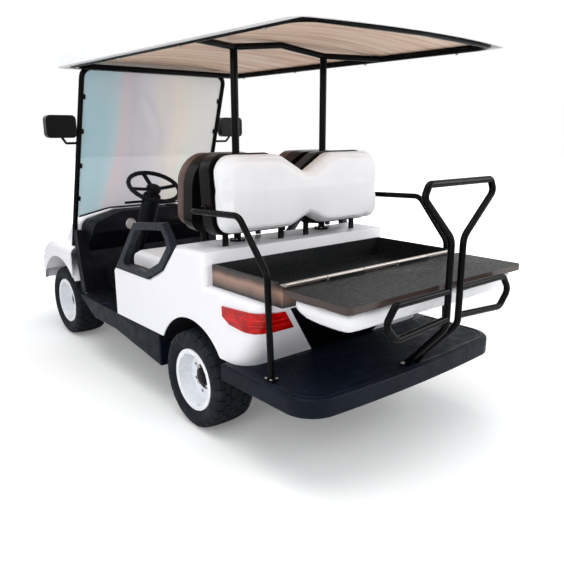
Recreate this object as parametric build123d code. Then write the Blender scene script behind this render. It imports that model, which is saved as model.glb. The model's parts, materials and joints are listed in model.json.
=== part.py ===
"""Four-seat golf cart with a flip-over rear seat, one STEP file per named piece.

Millimetres, +Z up, ground at z = 0. The cart faces -Y and its left side is +X. Stations
along the cart (every y below) are measured from the rear axle; save() then moves each piece
so that the frame's origin lies on the ground midway between the nose and the rear grab bar.
"""
from build123d import *
import os
from math import cos, radians, sin, tan

# ---- driving dimensions ------------------------------------------------------------------
WHEELBASE = 1710.0
REAR_TRACK = 970.0            # between the middles of the rear tyres
FRONT_TRACK = 800.0
TYRE_DIAMETER = 460.0
TYRE_WIDTH = 205.0
RIM_DIAMETER = 288.0          # over the flanges
RIM_WIDTH = 178.0             # over the flanges
BEAD_DIAMETER = 254.0
SEAT_GAP = 0.3                # between pieces that only rest against each other
RUNNING_GAP = 0.08            # radial, shaft in bore

AXLE_Z = TYRE_DIAMETER / 2
FRONT_AXLE_Y = -WHEELBASE
FRONT_WHEEL_X = FRONT_TRACK / 2
REAR_WHEEL_X = REAR_TRACK / 2

NOSE_Y = FRONT_AXLE_Y - 420.0   # front of the bumper
GRAB_BAR_Y = 957.0            # centre plane of the rear grab bar
GRAB_BAR_RADIUS = 13.0
ORIGIN_SHIFT_Y = -(NOSE_Y + GRAB_BAR_Y + GRAB_BAR_RADIUS) / 2

# ---- main stations and widths ------------------------------------------------------------
BODY_HALF_WIDTH = 570.0
BODY_FRONT_Y = -755.0
COWL_REAR_Y = FRONT_AXLE_Y + 240.0
FENDER_HALF_WIDTH = BODY_HALF_WIDTH - 42.0
ROOF_TOP_Z = 1748.0

# ---- chassis -----------------------------------------------------------------------------
RAIL_X = 150.0
RAIL_WIDTH = 40.0
RAIL_BOTTOM_Z = 315.0
RAIL_HEIGHT = 40.0
RAIL_TOP_Z = RAIL_BOTTOM_Z + RAIL_HEIGHT
RAIL_FRONT_Y = NOSE_Y + 70.0
FLOOR_THICKNESS = 10.0
FLOOR_TOP_Z = RAIL_TOP_Z + FLOOR_THICKNESS
FLOOR_FRONT_Y = COWL_REAR_Y + 70.0
FLOOR_HALF_WIDTH = BODY_HALF_WIDTH - 65.3
ROCKER_WIDTH = 66.0
ROCKER_BOTTOM_Z = 272.0
ROCKER_HEEL_Z = 204.0
ROCKER_DIP_Y = -800.0
ROCKER_TOP_Z = 372.0
ROCKER_FRONT_Y = FRONT_AXLE_Y + 440.0
ROCKER_REAR_Y = -300.0
ROCKER_NOSE_SLANT = 200.0

# ---- rear body ---------------------------------------------------------------------------
BODY_WALL = 6.0
BODY_REAR_Y = 540.0           # at the tray shelf
BODY_REAR_LEAN = 28.0         # degrees, the rear wall's top leans out
SEAT_SHELF_Z = 600.0
HUMP_REAR_Y = 112.0
HUMP_TOP_Z = 830.0
TRAY_SHELF_Z = 685.0
ARCH_RADIUS = 287.0
ARCH_Y = -12.0
ARCH_LINER = 4.0
LINER_X = 345.0
BODY_CORNER = 95.0
BODY_EDGE = 28.0
PLAN_EASE = 0.1               # the plan stands this far off the side walls that it trims

# ---- footplate ---------------------------------------------------------------------------
FOOTPLATE_TOP_Z = 398.0
FOOTPLATE_THICKNESS = 76.0
FOOTPLATE_FRONT_Y = 268.0
FOOTPLATE_REAR_Y = 800.0
FOOTPLATE_BOW = 28.0
FOOTPLATE_HALF_WIDTH = BODY_HALF_WIDTH + 30.0
FOOTPLATE_CORNER = 130.0

# ---- roof and posts ----------------------------------------------------------------------
ROOF_HALF_WIDTH = BODY_HALF_WIDTH + 33.0
PILLAR_TOP_Y = FRONT_AXLE_Y + 514.0
ROOF_FRONT_Y = PILLAR_TOP_Y - 79.0
ROOF_REAR_Y = 737.0
ROOF_REAR_BOW = 65.0
ROOF_LIP_Z = ROOF_TOP_Z - 83.0
ROOF_LIP_WIDTH = 14.0
FRAME_HALF_WIDTH = ROOF_HALF_WIDTH - 53.0
FRAME_TUBE_RADIUS = 15.0
FRAME_Z = ROOF_TOP_Z - 74.0
FRAME_FRONT_Y = PILLAR_TOP_Y + 46.0
FRAME_REAR_Y = 708.0
FRAME_BOW = 40.0
FRAME_CORNER = 90.0
POST_X = 270.0
POST_Y = -50.0
POST_RADIUS = 17.0
CROSSBAR_END_Y = 80.0

# ---- windshield --------------------------------------------------------------------------
PILLAR_X = FENDER_HALF_WIDTH - 53.0
PILLAR_RADIUS = 15.0
PILLAR_TOP_Z = ROOF_TOP_Z - 72.0
PILLAR_RAKE = 18.2            # degrees from upright
PILLAR_CORNER = 60.0
GLASS_THICKNESS = 5.0
GLASS_LIFT = 2.0              # of the glass's foot above the cowl

# ---- front cowl --------------------------------------------------------------------------
COWL_WALL = 6.0
COWL_NOSE_Y = NOSE_Y + 45.0
COWL_TOP_Z = 850.0
COWL_BROW_Y = COWL_REAR_Y - 130.0
COWL_BROW_Z = 834.0
COWL_NOSE_TOP_Z = 590.0
COWL_BOTTOM_Z = 340.0
FENDER_TOP_Z = 625.0
FENDER_FRONT_Y = FRONT_AXLE_Y - 310.0
COWL_HALF_WIDTH = PILLAR_X - PILLAR_RADIUS - SEAT_GAP
FRONT_ARCH_RADIUS = 305.0

# ---- dashboard, steering -----------------------------------------------------------------
DASH_HALF_WIDTH = COWL_HALF_WIDTH - 12.0
DASH_TOP_Z = COWL_TOP_Z - COWL_WALL
DASH_LIP_Y = COWL_REAR_Y + 180.0
DASH_LIP_Z = DASH_TOP_Z - 52.0
STEER_X = 242.0
STEER_Y = FRONT_AXLE_Y + 830.0
STEER_Z = 1024.0
STEER_TILT = 30.0             # of the wheel's plane from level, degrees
STEER_RADIUS = 143.0
STEER_RIM = 13.0
COLUMN_RADIUS = 24.0
STEER_SHAFT = 10.0

# ---- seats -------------------------------------------------------------------------------
SEAT_HALF_WIDTH = BODY_HALF_WIDTH - 80.0
CUSHION_THICKNESS = 112.0
CUSHION_FRONT_Y = -735.0
CUSHION_REAR_Y = -225.0
BACK_HALF_WIDTH = SEAT_HALF_WIDTH
BACK_BOTTOM_Z = 872.0
BACK_TOP_Z = 1228.0
BACK_TOP_NOTCH = (160.0, 95.0)      # half width and depth
BACK_FOOT_NOTCH = (110.0, 50.0)
BACK_THICKNESS = 88.0
SHELL_THICKNESS = 75.0
SHELL_MARGIN = 4.0
BACK_LEAN = 5.0

# ---- cargo tray and flip-over rear seat --------------------------------------------------
TRAY_HALF_WIDTH = BODY_HALF_WIDTH - 42.0
TRAY_FRONT_Y = 118.0
TRAY_REAR_Y = 580.0
TRAY_TOP_Z = 780.0
TRAY_BOTTOM_Z = TRAY_SHELF_Z + SEAT_GAP
TRAY_WALL = 12.0
TRAY_FLOOR = 10.0
HINGE_Y = 590.0
HINGE_Z = 777.0
HINGE_RADIUS = 7.0
HINGE_PIN = 3.5
HINGE_LEAF = 4.0
HINGE_KNUCKLES = 5
HINGE_GAP = 1.5
DECK_HALF_WIDTH = TRAY_HALF_WIDTH + 7.0
DECK_FRONT_Y = 602.0
DECK_REAR_Y = 928.0
DECK_TOP_Z = 765.0
DECK_THICKNESS = 26.0
FLIP_CUSHION_HALF_WIDTH = DECK_HALF_WIDTH - 12.0
FLIP_CUSHION_THICKNESS = 90.0
FLIP_CUSHION_INSET = 10.0
FLIP_CUSHION_ROUND = 72.0

# ---- hand rails --------------------------------------------------------------------------
ARM_RADIUS = 13.0
ARM_X = DECK_HALF_WIDTH + ARM_RADIUS + 6.0
GRAB_HALF_WIDTH = 190.0
GRAB_TOP_Z = 1146.0
GRAB_NECK_HALF = 37.0
GRAB_NECK_Z = 940.0


def block(x, y, z):
    """A box between two values on each axis."""
    size = (x[1] - x[0], y[1] - y[0], z[1] - z[0])
    middle = ((x[0] + x[1]) / 2, (y[0] + y[1]) / 2, (z[0] + z[1]) / 2)
    return Pos(*middle) * Box(*size)


def across(radius, x, y, z):
    """A round bar along X between two x values."""
    return Pos((x[0] + x[1]) / 2, y, z) * Rot(0, 90, 0) * Cylinder(radius, x[1] - x[0])


def upright(radius, x, y, z):
    """A round bar along Z between two z values."""
    return Pos(x, y, (z[0] + z[1]) / 2) * Cylinder(radius, z[1] - z[0])


def bar(points, radius, bend=None):
    """A round bar along straight runs, with each inner corner bent to the radius bend."""
    path = Line(*points) if bend is None else FilletPolyline(*points, radius=bend)
    return sweep(Plane(origin=path @ 0, z_dir=path % 0) * Circle(radius), path=path)


def side_slab(outline, x):
    """An outline of (y, z) points or a sketch on the YZ plane, extruded between two x values."""
    face = outline if isinstance(outline, Sketch) else make_face(Polyline(*outline, close=True))
    return Pos(x[0], 0, 0) * extrude(Plane.YZ * face, amount=x[1] - x[0])


def left_and_right(piece):
    """A piece on the left side and its mirror image on the right side."""
    return [piece, mirror(piece, about=Plane.YZ)]


def save(node, *solids):
    """Write one node's solids, moved to the part's frame."""
    shape = solids[0] if len(solids) == 1 else Compound(children=list(solids))
    export_step(shape.moved(Location((0, ORIGIN_SHIFT_Y, 0))), f"parts/{node}.step")


# ---- wheels ------------------------------------------------------------------------------
RIM_SHEET = 5.0
FLANGE_SHEET = 6.0
DISC_INSET = 72.0             # from the outer flange to the disc's outer face
HUB_RADIUS = 40.0
HUB_NOSE = 22.0
HUB_DEPTH = 46.0
SPINDLE_RADIUS = 15.0
SPINDLE_END_GAP = 8.0
LUG_COUNT = 4
LUG_CIRCLE = 101.6
LUG_RADIUS = 9.0
LUG_HEIGHT = 14.0
VENT_COUNT = 8
VENT_CIRCLE_RADIUS = 92.0
VENT_RADIUS = 9.0
TREAD_HALF = 84.0
SHOULDER_DROP = 7.0
BULGE_RADIUS = 184.0
BEAD_GAP = 0.5


def wheel_turn(profile, x):
    """Turn an (axial, radial) outline about the wheel's axis; +axial is outboard at +X."""
    face = make_face(Polyline(*[(a, 0, r) for a, r in profile], close=True))
    return Pos(x, 0, 0) * revolve(face, axis=Axis.X)


def tyre():
    """A tyre about the X axis, its middle at x = 0."""
    bead_half = RIM_WIDTH / 2 - FLANGE_SHEET - BEAD_GAP
    top = TYRE_DIAMETER / 2
    half = [(bead_half, BEAD_DIAMETER / 2 + BEAD_GAP), (bead_half, RIM_DIAMETER / 2 + BEAD_GAP),
            (TYRE_WIDTH / 2, BULGE_RADIUS), (TREAD_HALF + SHOULDER_DROP, top - 2 * SHOULDER_DROP),
            (TREAD_HALF, top - SHOULDER_DROP / 2), (TREAD_HALF * 0.7, top)]
    return wheel_turn(half + [(-a, r) for a, r in reversed(half)], 0)


def rim():
    """A deep-dish steel wheel with its hub, outboard towards +X."""
    half = RIM_WIDTH / 2
    bead = BEAD_DIAMETER / 2
    flange = RIM_DIAMETER / 2
    inner = bead - RIM_SHEET
    disc = half - DISC_INSET
    barrel = wheel_turn([(-half, inner), (half, inner), (half, flange), (half - FLANGE_SHEET, flange),
                         (half - FLANGE_SHEET, bead), (FLANGE_SHEET - half, bead),
                         (FLANGE_SHEET - half, flange), (-half, flange)], 0)
    wheel = barrel + across(inner + RIM_SHEET / 2, (disc - RIM_SHEET, disc), 0, 0)
    wheel += across(HUB_RADIUS, (disc - HUB_DEPTH, disc + HUB_NOSE), 0, 0)
    for turn in range(VENT_COUNT):
        angle = radians(360 / VENT_COUNT * (turn + 0.5))
        place = (VENT_CIRCLE_RADIUS * sin(angle), VENT_CIRCLE_RADIUS * cos(angle))
        wheel -= across(VENT_RADIUS, (disc - 2 * RIM_SHEET, disc + RIM_SHEET), *place)
    for turn in range(LUG_COUNT):
        angle = radians(360 / LUG_COUNT * (turn + 0.5))
        place = (LUG_CIRCLE / 2 * sin(angle), LUG_CIRCLE / 2 * cos(angle))
        wheel += across(LUG_RADIUS, (disc - RIM_SHEET, disc + LUG_HEIGHT), *place)
    bore = (disc - HUB_DEPTH - 1, disc + HUB_NOSE - SPINDLE_END_GAP)
    return wheel - across(SPINDLE_RADIUS + RUNNING_GAP, bore, 0, 0)


HUB_BACK = RIM_WIDTH / 2 - DISC_INSET - HUB_DEPTH       # inboard face of the hub, from mid-wheel
SPINDLE_TIP = RIM_WIDTH / 2 - DISC_INSET + HUB_NOSE - SPINDLE_END_GAP - 2.0


def save_wheels():
    """Four tyres and four rims, each on its own hub."""
    stations = (("front", FRONT_WHEEL_X, FRONT_AXLE_Y), ("rear", REAR_WHEEL_X, 0.0))
    for end, x, y in stations:
        for piece, shape in (("tyre", tyre()), ("rim", rim())):
            left = Pos(x, y, AXLE_Z) * shape
            save(f"{piece}_{end}_left", left)
            save(f"{piece}_{end}_right", mirror(left, about=Plane.YZ))


# ---- axles, knuckles, springs ------------------------------------------------------------
KINGPIN_X = 330.0
KINGPIN_RADIUS = 11.0
KINGPIN_BOSS = 22.0
BOSS_HALF_HEIGHT = 30.0
EAR_GAP = 1.0
EAR_THICKNESS = 12.0
EAR_RADIUS = 20.0
KNUCKLE_PLATE = 12.0
KNUCKLE_OUTER_X = FRONT_WHEEL_X + HUB_BACK - 2.0
KNUCKLE_HALF = 26.0
BEAM_HALF_DEPTH = 20.0
BEAM_HALF_HEIGHT = 22.0
AXLE_TUBE_RADIUS = 32.0
DIFF_RADIUS = 88.0
DIFF_HALF_WIDTH = 60.0
DRUM_RADIUS = 82.0
DRUM_WIDTH = 40.0
HUB_GAP = 2.0
LEAF_WIDTH = 50.0
LEAF_THICKNESS = 20.0
FRONT_LEAF_HALF = 300.0
REAR_LEAF_HALF = 245.0
LEAF_TIP = 16.0
REAR_LEAF_X = 290.0


def knuckle():
    """The left knuckle: kingpin, two ears, an upright and the wheel spindle."""
    ear_inner = BOSS_HALF_HEIGHT + EAR_GAP
    ear_outer = ear_inner + EAR_THICKNESS
    plate = (KNUCKLE_OUTER_X - KNUCKLE_PLATE, KNUCKLE_OUTER_X)
    depth = (FRONT_AXLE_Y - KNUCKLE_HALF, FRONT_AXLE_Y + KNUCKLE_HALF)
    shape = block(plate, depth, (AXLE_Z - ear_outer, AXLE_Z + ear_outer))
    shape += upright(KINGPIN_RADIUS, KINGPIN_X, FRONT_AXLE_Y, (AXLE_Z - ear_outer, AXLE_Z + ear_outer))
    for side in (-1, 1):
        z = sorted((AXLE_Z + side * ear_inner, AXLE_Z + side * ear_outer))
        shape += upright(EAR_RADIUS, KINGPIN_X, FRONT_AXLE_Y, z)
        reach = (FRONT_AXLE_Y - EAR_RADIUS, FRONT_AXLE_Y + EAR_RADIUS)
        shape += block((KINGPIN_X, plate[1]), reach, z)
    spindle = (plate[0], FRONT_WHEEL_X + SPINDLE_TIP)
    return shape + across(SPINDLE_RADIUS, spindle, FRONT_AXLE_Y, AXLE_Z)


def front_axle():
    """A straight beam with a bored boss at each end."""
    beam = block((-KINGPIN_X, KINGPIN_X), (FRONT_AXLE_Y - BEAM_HALF_DEPTH, FRONT_AXLE_Y + BEAM_HALF_DEPTH),
                 (AXLE_Z - BEAM_HALF_HEIGHT, AXLE_Z + BEAM_HALF_HEIGHT))
    for x in (-KINGPIN_X, KINGPIN_X):
        boss = (AXLE_Z - BOSS_HALF_HEIGHT, AXLE_Z + BOSS_HALF_HEIGHT)
        beam += upright(KINGPIN_BOSS, x, FRONT_AXLE_Y, boss)
    for x in (-KINGPIN_X, KINGPIN_X):
        beam -= upright(KINGPIN_RADIUS + RUNNING_GAP, x, FRONT_AXLE_Y, (0, 2 * AXLE_Z))
    return beam


def rear_axle():
    """The axle tube with its differential, brake drums and wheel spindles."""
    hub_back = REAR_WHEEL_X + HUB_BACK - HUB_GAP
    drum_in = hub_back - DRUM_WIDTH
    axle = across(AXLE_TUBE_RADIUS, (-drum_in, drum_in), 0, AXLE_Z)
    axle += across(DIFF_RADIUS, (-DIFF_HALF_WIDTH, DIFF_HALF_WIDTH), 0, AXLE_Z)
    for side in (-1, 1):
        drum = sorted((side * drum_in, side * hub_back))
        axle += across(DRUM_RADIUS, drum, 0, AXLE_Z)
        spindle = sorted((side * drum_in, side * (REAR_WHEEL_X + SPINDLE_TIP)))
        axle += across(SPINDLE_RADIUS, spindle, 0, AXLE_Z)
    return axle


def leaf_spring(x, y, seat_z, half):
    """A bowed leaf pack seated on an axle, its two tips under the frame."""
    tip_z = RAIL_BOTTOM_Z - SEAT_GAP - LEAF_TIP / 2
    low = [(y - half, tip_z - LEAF_TIP / 2), (y, seat_z), (y + half, tip_z - LEAF_TIP / 2)]
    high = [(y - half, tip_z + LEAF_TIP / 2), (y, seat_z + LEAF_THICKNESS), (y + half, tip_z + LEAF_TIP / 2)]
    under = ThreePointArc(*low)
    over = ThreePointArc(*high)
    outline = make_face([under, Line(low[2], high[2]), over, Line(high[0], low[0])])
    return side_slab(outline, (x - LEAF_WIDTH / 2, x + LEAF_WIDTH / 2))


def leaf_springs():
    """Two front springs under the rails and two rear ones under the cross members."""
    front_seat = AXLE_Z + BEAM_HALF_HEIGHT + SEAT_GAP
    rear_seat = AXLE_Z + AXLE_TUBE_RADIUS + SEAT_GAP
    return (left_and_right(leaf_spring(RAIL_X, FRONT_AXLE_Y, front_seat, FRONT_LEAF_HALF))
            + left_and_right(leaf_spring(REAR_LEAF_X, 0.0, rear_seat, REAR_LEAF_HALF)))


MEMBER_LENGTH = 40.0
MID_MEMBER_Y = (FLOOR_FRONT_Y + BODY_FRONT_Y) / 2
BRACKET_TOP_Z = FOOTPLATE_TOP_Z - FOOTPLATE_THICKNESS - SEAT_GAP
BRACKET_HEIGHT = 30.0
BRACKET_REAR_Y = 740.0
BRACKET_FRONT_Y = 120.0


def chassis_frame():
    """Two rails joined by cross members, with two arms that carry the footplate."""
    rail_z = (RAIL_BOTTOM_Z, RAIL_TOP_Z)
    outer = FLOOR_HALF_WIDTH
    spring = REAR_LEAF_X + LEAF_WIDTH / 2 + 15
    members = (("nose", RAIL_FRONT_Y, RAIL_X), ("toe", FLOOR_FRONT_Y + MEMBER_LENGTH, outer),
               ("floor", MID_MEMBER_Y, outer), ("seat", BODY_FRONT_Y + MEMBER_LENGTH, outer),
               ("arch", ARCH_Y - ARCH_RADIUS - MEMBER_LENGTH, outer),
               ("spring_front", -REAR_LEAF_HALF - MEMBER_LENGTH / 2, spring),
               ("spring_rear", REAR_LEAF_HALF - MEMBER_LENGTH / 2, spring))
    rear_end = REAR_LEAF_HALF + MEMBER_LENGTH / 2
    frame = None
    for side in (-1, 1):
        x = sorted((side * (RAIL_X - RAIL_WIDTH / 2), side * (RAIL_X + RAIL_WIDTH / 2)))
        rail = block(x, (RAIL_FRONT_Y, rear_end), rail_z)
        arm = block(x, (BRACKET_FRONT_Y, BRACKET_REAR_Y), (BRACKET_TOP_Z - BRACKET_HEIGHT, BRACKET_TOP_Z))
        frame = rail + arm if frame is None else frame + rail + arm
    for _, y, half in members:
        frame += block((-half, half), (y, y + MEMBER_LENGTH), rail_z)
    return frame


MOTOR_RADIUS = 82.0
MOTOR_LENGTH = 250.0


def drive_motor():
    """The drive motor, a plain cylinder lying on the differential's front."""
    front = -DIFF_RADIUS + 4
    motor = Pos(0, front - MOTOR_LENGTH / 2, AXLE_Z) * Rot(90, 0, 0) * Cylinder(MOTOR_RADIUS, MOTOR_LENGTH)
    return motor - across(DIFF_RADIUS + SEAT_GAP, (-DIFF_HALF_WIDTH - 50, DIFF_HALF_WIDTH + 50), 0, AXLE_Z)


# ---- body shells -------------------------------------------------------------------------
SADDLE_FRONT = (-735.0, 628.0)       # the body's side under the hip restraint, as (y, z)
SADDLE_LOW = (-400.0, 628.0)
SADDLE_RISE = (-246.0, 700.0)
SADDLE_TOP = (-146.0, 806.0)
POCKET_SIDE_GAP = 8.0
POCKET_REAR_GAP = 10.0
HATCH_X = 380.0
HATCH_Y = (-680.0, -280.0)
REAR_SLOPE = tan(radians(BODY_REAR_LEAN))
BODY_FOOT_Y = BODY_REAR_Y - (TRAY_SHELF_Z - FOOTPLATE_TOP_Z) * REAR_SLOPE
PANEL_TOP_HALF = BODY_HALF_WIDTH - 128.0
PANEL_FOOT_HALF = PANEL_TOP_HALF - 242.0
PANEL_TOP_Z = TRAY_SHELF_Z - 26.0
PANEL_THICKNESS = 10.0
FRONT_LINER_X = 178.0
FRONT_LINER_FOOT_Z = FOOTPLATE_TOP_Z + 14.0
REAR_LINER_FOOT_Z = ROCKER_TOP_Z - 27.0
PANEL_INSET = 14.0
PANEL_RIM = 20.0
LAMP_PROUD = 6.0
TAIL_LAMP = (                 # the lamp's outline from the side, as (y, z)
    (BODY_FOOT_Y - 138.0, TRAY_SHELF_Z - 52.0),
    (BODY_REAR_Y + 60.0, TRAY_SHELF_Z - 28.0),
    (BODY_REAR_Y + 60.0, TRAY_SHELF_Z - 112.0),
    (BODY_FOOT_Y + 55.0, TRAY_SHELF_Z - 130.0),
    (BODY_FOOT_Y - 85.0, TRAY_SHELF_Z - 118.0),
    (BODY_FOOT_Y - 134.0, TRAY_SHELF_Z - 94.0),
)
TAIL_LAMP_SHORE = 32.0        # between the lamp and the panel's opening
HEAD_LAMP = (                 # the lamp's outline from the side, as (y, z)
    (COWL_NOSE_Y - 15.0, FENDER_TOP_Z - 125.0),
    (COWL_NOSE_Y - 15.0, FENDER_TOP_Z - 50.0),
    (FENDER_FRONT_Y + 100.0, FENDER_TOP_Z + 15.0),
    (FENDER_FRONT_Y + 140.0, FENDER_TOP_Z + 15.0),
    (FENDER_FRONT_Y + 60.0, FENDER_TOP_Z - 95.0),
)
HEAD_LAMP_X = FENDER_HALF_WIDTH - 178.0


def leaning_prism(grow):
    """The rear body in plan, its rear corners rounded, extruded up along the leaning rear wall."""
    half = BODY_HALF_WIDTH + PLAN_EASE + grow
    high = BODY_FOOT_Y - FOOTPLATE_TOP_Z * REAR_SLOPE + grow
    low = BODY_FRONT_Y - HUMP_TOP_Z * REAR_SLOPE - 10
    sketch = Pos(0, (low + high) / 2) * Rectangle(2 * half, high - low)
    sketch = fillet(sketch.vertices().group_by(Axis.Y)[-1], BODY_CORNER + grow)
    direction = Vector(0, REAR_SLOPE, 1)
    return extrude(sketch, amount=(HUMP_TOP_Z + 10) * direction.length, dir=direction)


def rear_trapezoid(shrink, y):
    """A prism along Y through the opening for the service panel."""
    top, foot = PANEL_TOP_HALF - shrink, PANEL_FOOT_HALF - shrink
    low, high = FOOTPLATE_TOP_Z + shrink, PANEL_TOP_Z - shrink
    outline = [(-foot, low), (foot, low), (top, high), (-top, high)]
    face = make_face(Polyline(*outline, close=True))
    return Pos(0, y[1], 0) * extrude(Plane.XZ * face, amount=y[1] - y[0])


def wall_layer(near, far, half):
    """A layer parallel to the leaning rear wall, between two distances in front of its outer face."""
    low, high = FOOTPLATE_TOP_Z - 60, PANEL_TOP_Z + 60
    foot = BODY_FOOT_Y + (low - FOOTPLATE_TOP_Z) * REAR_SLOPE
    top = BODY_FOOT_Y + (high - FOOTPLATE_TOP_Z) * REAR_SLOPE
    outline = [(foot - near, low), (top - near, high), (top - far, high), (foot - far, low)]
    return side_slab(outline, (-half, half))


def round_sides(slab, half_width, radius, above_z):
    """Round the long outer edges of a slab above a height."""
    edges = [edge for edge in slab.edges()
             if abs(abs(edge.center().X) - half_width) < 0.01 and edge.center().Z > above_z]
    return fillet(edges, radius)


def rear_form(inset):
    """The rear body's solid form, or the form of its inside when inset by the wall."""
    base = ROCKER_TOP_Z + SEAT_GAP
    front = BODY_FRONT_Y + inset
    hump_y = SADDLE_TOP[0] + HUMP_TOP_Z - SADDLE_TOP[1]
    outline = [(front, base - inset), (front, SADDLE_FRONT[1] - 16 - inset),
               (SADDLE_FRONT[0] + inset, SADDLE_FRONT[1] - inset),
               (SADDLE_LOW[0], SADDLE_LOW[1] - inset), (SADDLE_RISE[0] + inset, SADDLE_RISE[1] - inset),
               (SADDLE_TOP[0] + inset, SADDLE_TOP[1] - inset), (hump_y + inset, HUMP_TOP_Z - inset),
               (HUMP_REAR_Y - inset, HUMP_TOP_Z - inset), (HUMP_REAR_Y - inset, TRAY_SHELF_Z - inset),
               (BODY_REAR_Y + 50, TRAY_SHELF_Z - inset), (BODY_REAR_Y + 50, base - inset)]
    half = BODY_HALF_WIDTH - inset
    slab = round_sides(side_slab(outline, (-half, half)), half, BODY_EDGE - inset, SADDLE_FRONT[1])
    return slab & leaning_prism(-inset)


def seat_pocket(grow=0.0):
    """The space that the front cushion lies in."""
    half = SEAT_HALF_WIDTH + POCKET_SIDE_GAP + grow
    return block((-half, half), (BODY_FRONT_Y - 50, CUSHION_REAR_Y + POCKET_REAR_GAP + grow),
                 (SEAT_SHELF_Z - grow, HUMP_TOP_Z + 50))


def arch(radius, y, x):
    """A wheel arch's cylinder on one side."""
    return across(radius, x, y, AXLE_Z)


def rear_body():
    """The white rear body: a hollow shell with a seat pocket, a battery hatch and two arches."""
    shell = rear_form(0.0) - seat_pocket()
    shell -= rear_form(BODY_WALL) - seat_pocket(BODY_WALL)
    shell -= block((-HATCH_X, HATCH_X), HATCH_Y, (SEAT_SHELF_Z - 2 * BODY_WALL, SEAT_SHELF_Z + BODY_WALL))
    width = BODY_HALF_WIDTH + 10
    shell -= arch(ARCH_RADIUS, ARCH_Y, (-width, width))
    shell -= block((-width, width), (0, BODY_REAR_Y + 10), (0, FOOTPLATE_TOP_Z + SEAT_GAP))
    shell -= block((-width, width), (BODY_FRONT_Y - 10, BODY_REAR_Y + 10), (0, ROCKER_TOP_Z + SEAT_GAP))
    return shell - rear_trapezoid(0.0, (BODY_FOOT_Y - 60, BODY_REAR_Y + 10))


def rear_panel():
    """The dark service panel set into the body's rear wall, on its own frame."""
    y = (BODY_FOOT_Y - 100, BODY_REAR_Y + 10)
    depth = PANEL_INSET + PANEL_THICKNESS
    panel = wall_layer(SEAT_GAP, depth, PANEL_TOP_HALF) & rear_trapezoid(SEAT_GAP, y)
    return panel - (wall_layer(-1, PANEL_INSET, PANEL_TOP_HALF) & rear_trapezoid(PANEL_RIM, y))


def tail_lamps():
    """Two red lenses wrapped round the rear corners."""
    skin = leaning_prism(LAMP_PROUD) - leaning_prism(SEAT_GAP)
    slope = (PANEL_TOP_HALF - PANEL_FOOT_HALF) / (PANEL_TOP_Z - FOOTPLATE_TOP_Z)
    low, high = TAIL_LAMP[3][1] - 10, TAIL_LAMP[1][1] + 10
    inner = [PANEL_FOOT_HALF + (z - FOOTPLATE_TOP_Z) * slope + TAIL_LAMP_SHORE for z in (low, high)]
    far = BODY_HALF_WIDTH + 50
    face = make_face(Polyline((inner[0], low), (far, low), (far, high), (inner[1], high), close=True))
    reach = Pos(0, BODY_REAR_Y + 100, 0) * extrude(Plane.XZ * face, amount=BODY_REAR_Y - BODY_FRONT_Y)
    return left_and_right(skin & side_slab(TAIL_LAMP, (0, far)) & reach)


def wheel_liners():
    """Four dark wheel wells, open below and outboard."""
    wells = []
    fender_x, side_x = FENDER_HALF_WIDTH - COWL_WALL, BODY_HALF_WIDTH - BODY_WALL
    front = (FRONT_AXLE_Y, FRONT_LINER_X, fender_x, FRONT_ARCH_RADIUS, FRONT_LINER_FOOT_Z)
    rear = (ARCH_Y, LINER_X, side_x, ARCH_RADIUS, REAR_LINER_FOOT_Z)
    for y, wall_x, outer_x, radius, foot_z in (front, rear):
        well = across(radius + ARCH_LINER, (wall_x, outer_x - SEAT_GAP), y, AXLE_Z)
        well -= across(radius, (wall_x + ARCH_LINER, outer_x + 10), y, AXLE_Z)
        reach = radius + 50
        well -= block((0, outer_x + 10), (y - reach, y + reach), (-reach, foot_z))
        wells += left_and_right(well)
    return wells


HOOD_ROUND = 70.0
CROWN_ROUND = 200.0
CROWN_DROP = 55.0             # of the hood's shoulders below its middle
FENDER_ROUND = 45.0
HOOD_STATIONS = (             # y, half width, top z
    (COWL_REAR_Y, COWL_HALF_WIDTH, COWL_TOP_Z),
    (COWL_BROW_Y, COWL_HALF_WIDTH, COWL_BROW_Z),
    (COWL_NOSE_Y + 65.0, COWL_HALF_WIDTH - 85.0, COWL_NOSE_TOP_Z),
    (COWL_NOSE_Y, COWL_HALF_WIDTH - 140.0, COWL_NOSE_TOP_Z - 90.0),
)
FENDER_INNER_X = 300.0


def crowned_face(half, low, top, shoulder):
    """A section across the cart: straight sides, round shoulders and a crowned top."""
    side, crown = top - CROWN_DROP, half / 2
    outline = [(-half, low), (-half, side), (-crown, top), (crown, top), (half, side), (half, low)]
    face = make_face(Polyline(*outline, close=True))
    face = fillet(face.vertices().group_by(Axis.Y)[1], shoulder)
    return fillet(face.vertices().group_by(Axis.Y)[-1], CROWN_ROUND)


def hood_form(inset):
    """The cowl's centre: a rounded hood that slopes and narrows towards the nose."""
    sections = []
    for y, half, top in HOOD_STATIONS:
        y = min(max(y, COWL_NOSE_Y + inset), COWL_REAR_Y - inset)
        face = crowned_face(half - inset, COWL_BOTTOM_Z - inset, top - inset, HOOD_ROUND - inset)
        sections.append(Pos(0, y, 0) * (Plane.XZ * face))
    return loft(sections, ruled=True)


def fender_form(inset):
    """The left front fender."""
    outer = FENDER_HALF_WIDTH - inset
    outline = [(COWL_REAR_Y + inset, COWL_BOTTOM_Z - inset), (COWL_REAR_Y + inset, FENDER_TOP_Z - inset),
               (FENDER_FRONT_Y + 140.0, FENDER_TOP_Z - inset),
               (FENDER_FRONT_Y + inset, FENDER_TOP_Z - 115.0),
               (FENDER_FRONT_Y + inset, COWL_BOTTOM_Z - inset)]
    slab = side_slab(outline, (FENDER_INNER_X, outer))
    edges = [edge for edge in slab.edges() if abs(edge.center().X - outer) < 0.01
             and edge.center().Z > COWL_BOTTOM_Z and edge.center().Y < COWL_REAR_Y - 1]
    return fillet(edges, FENDER_ROUND - inset)


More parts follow.
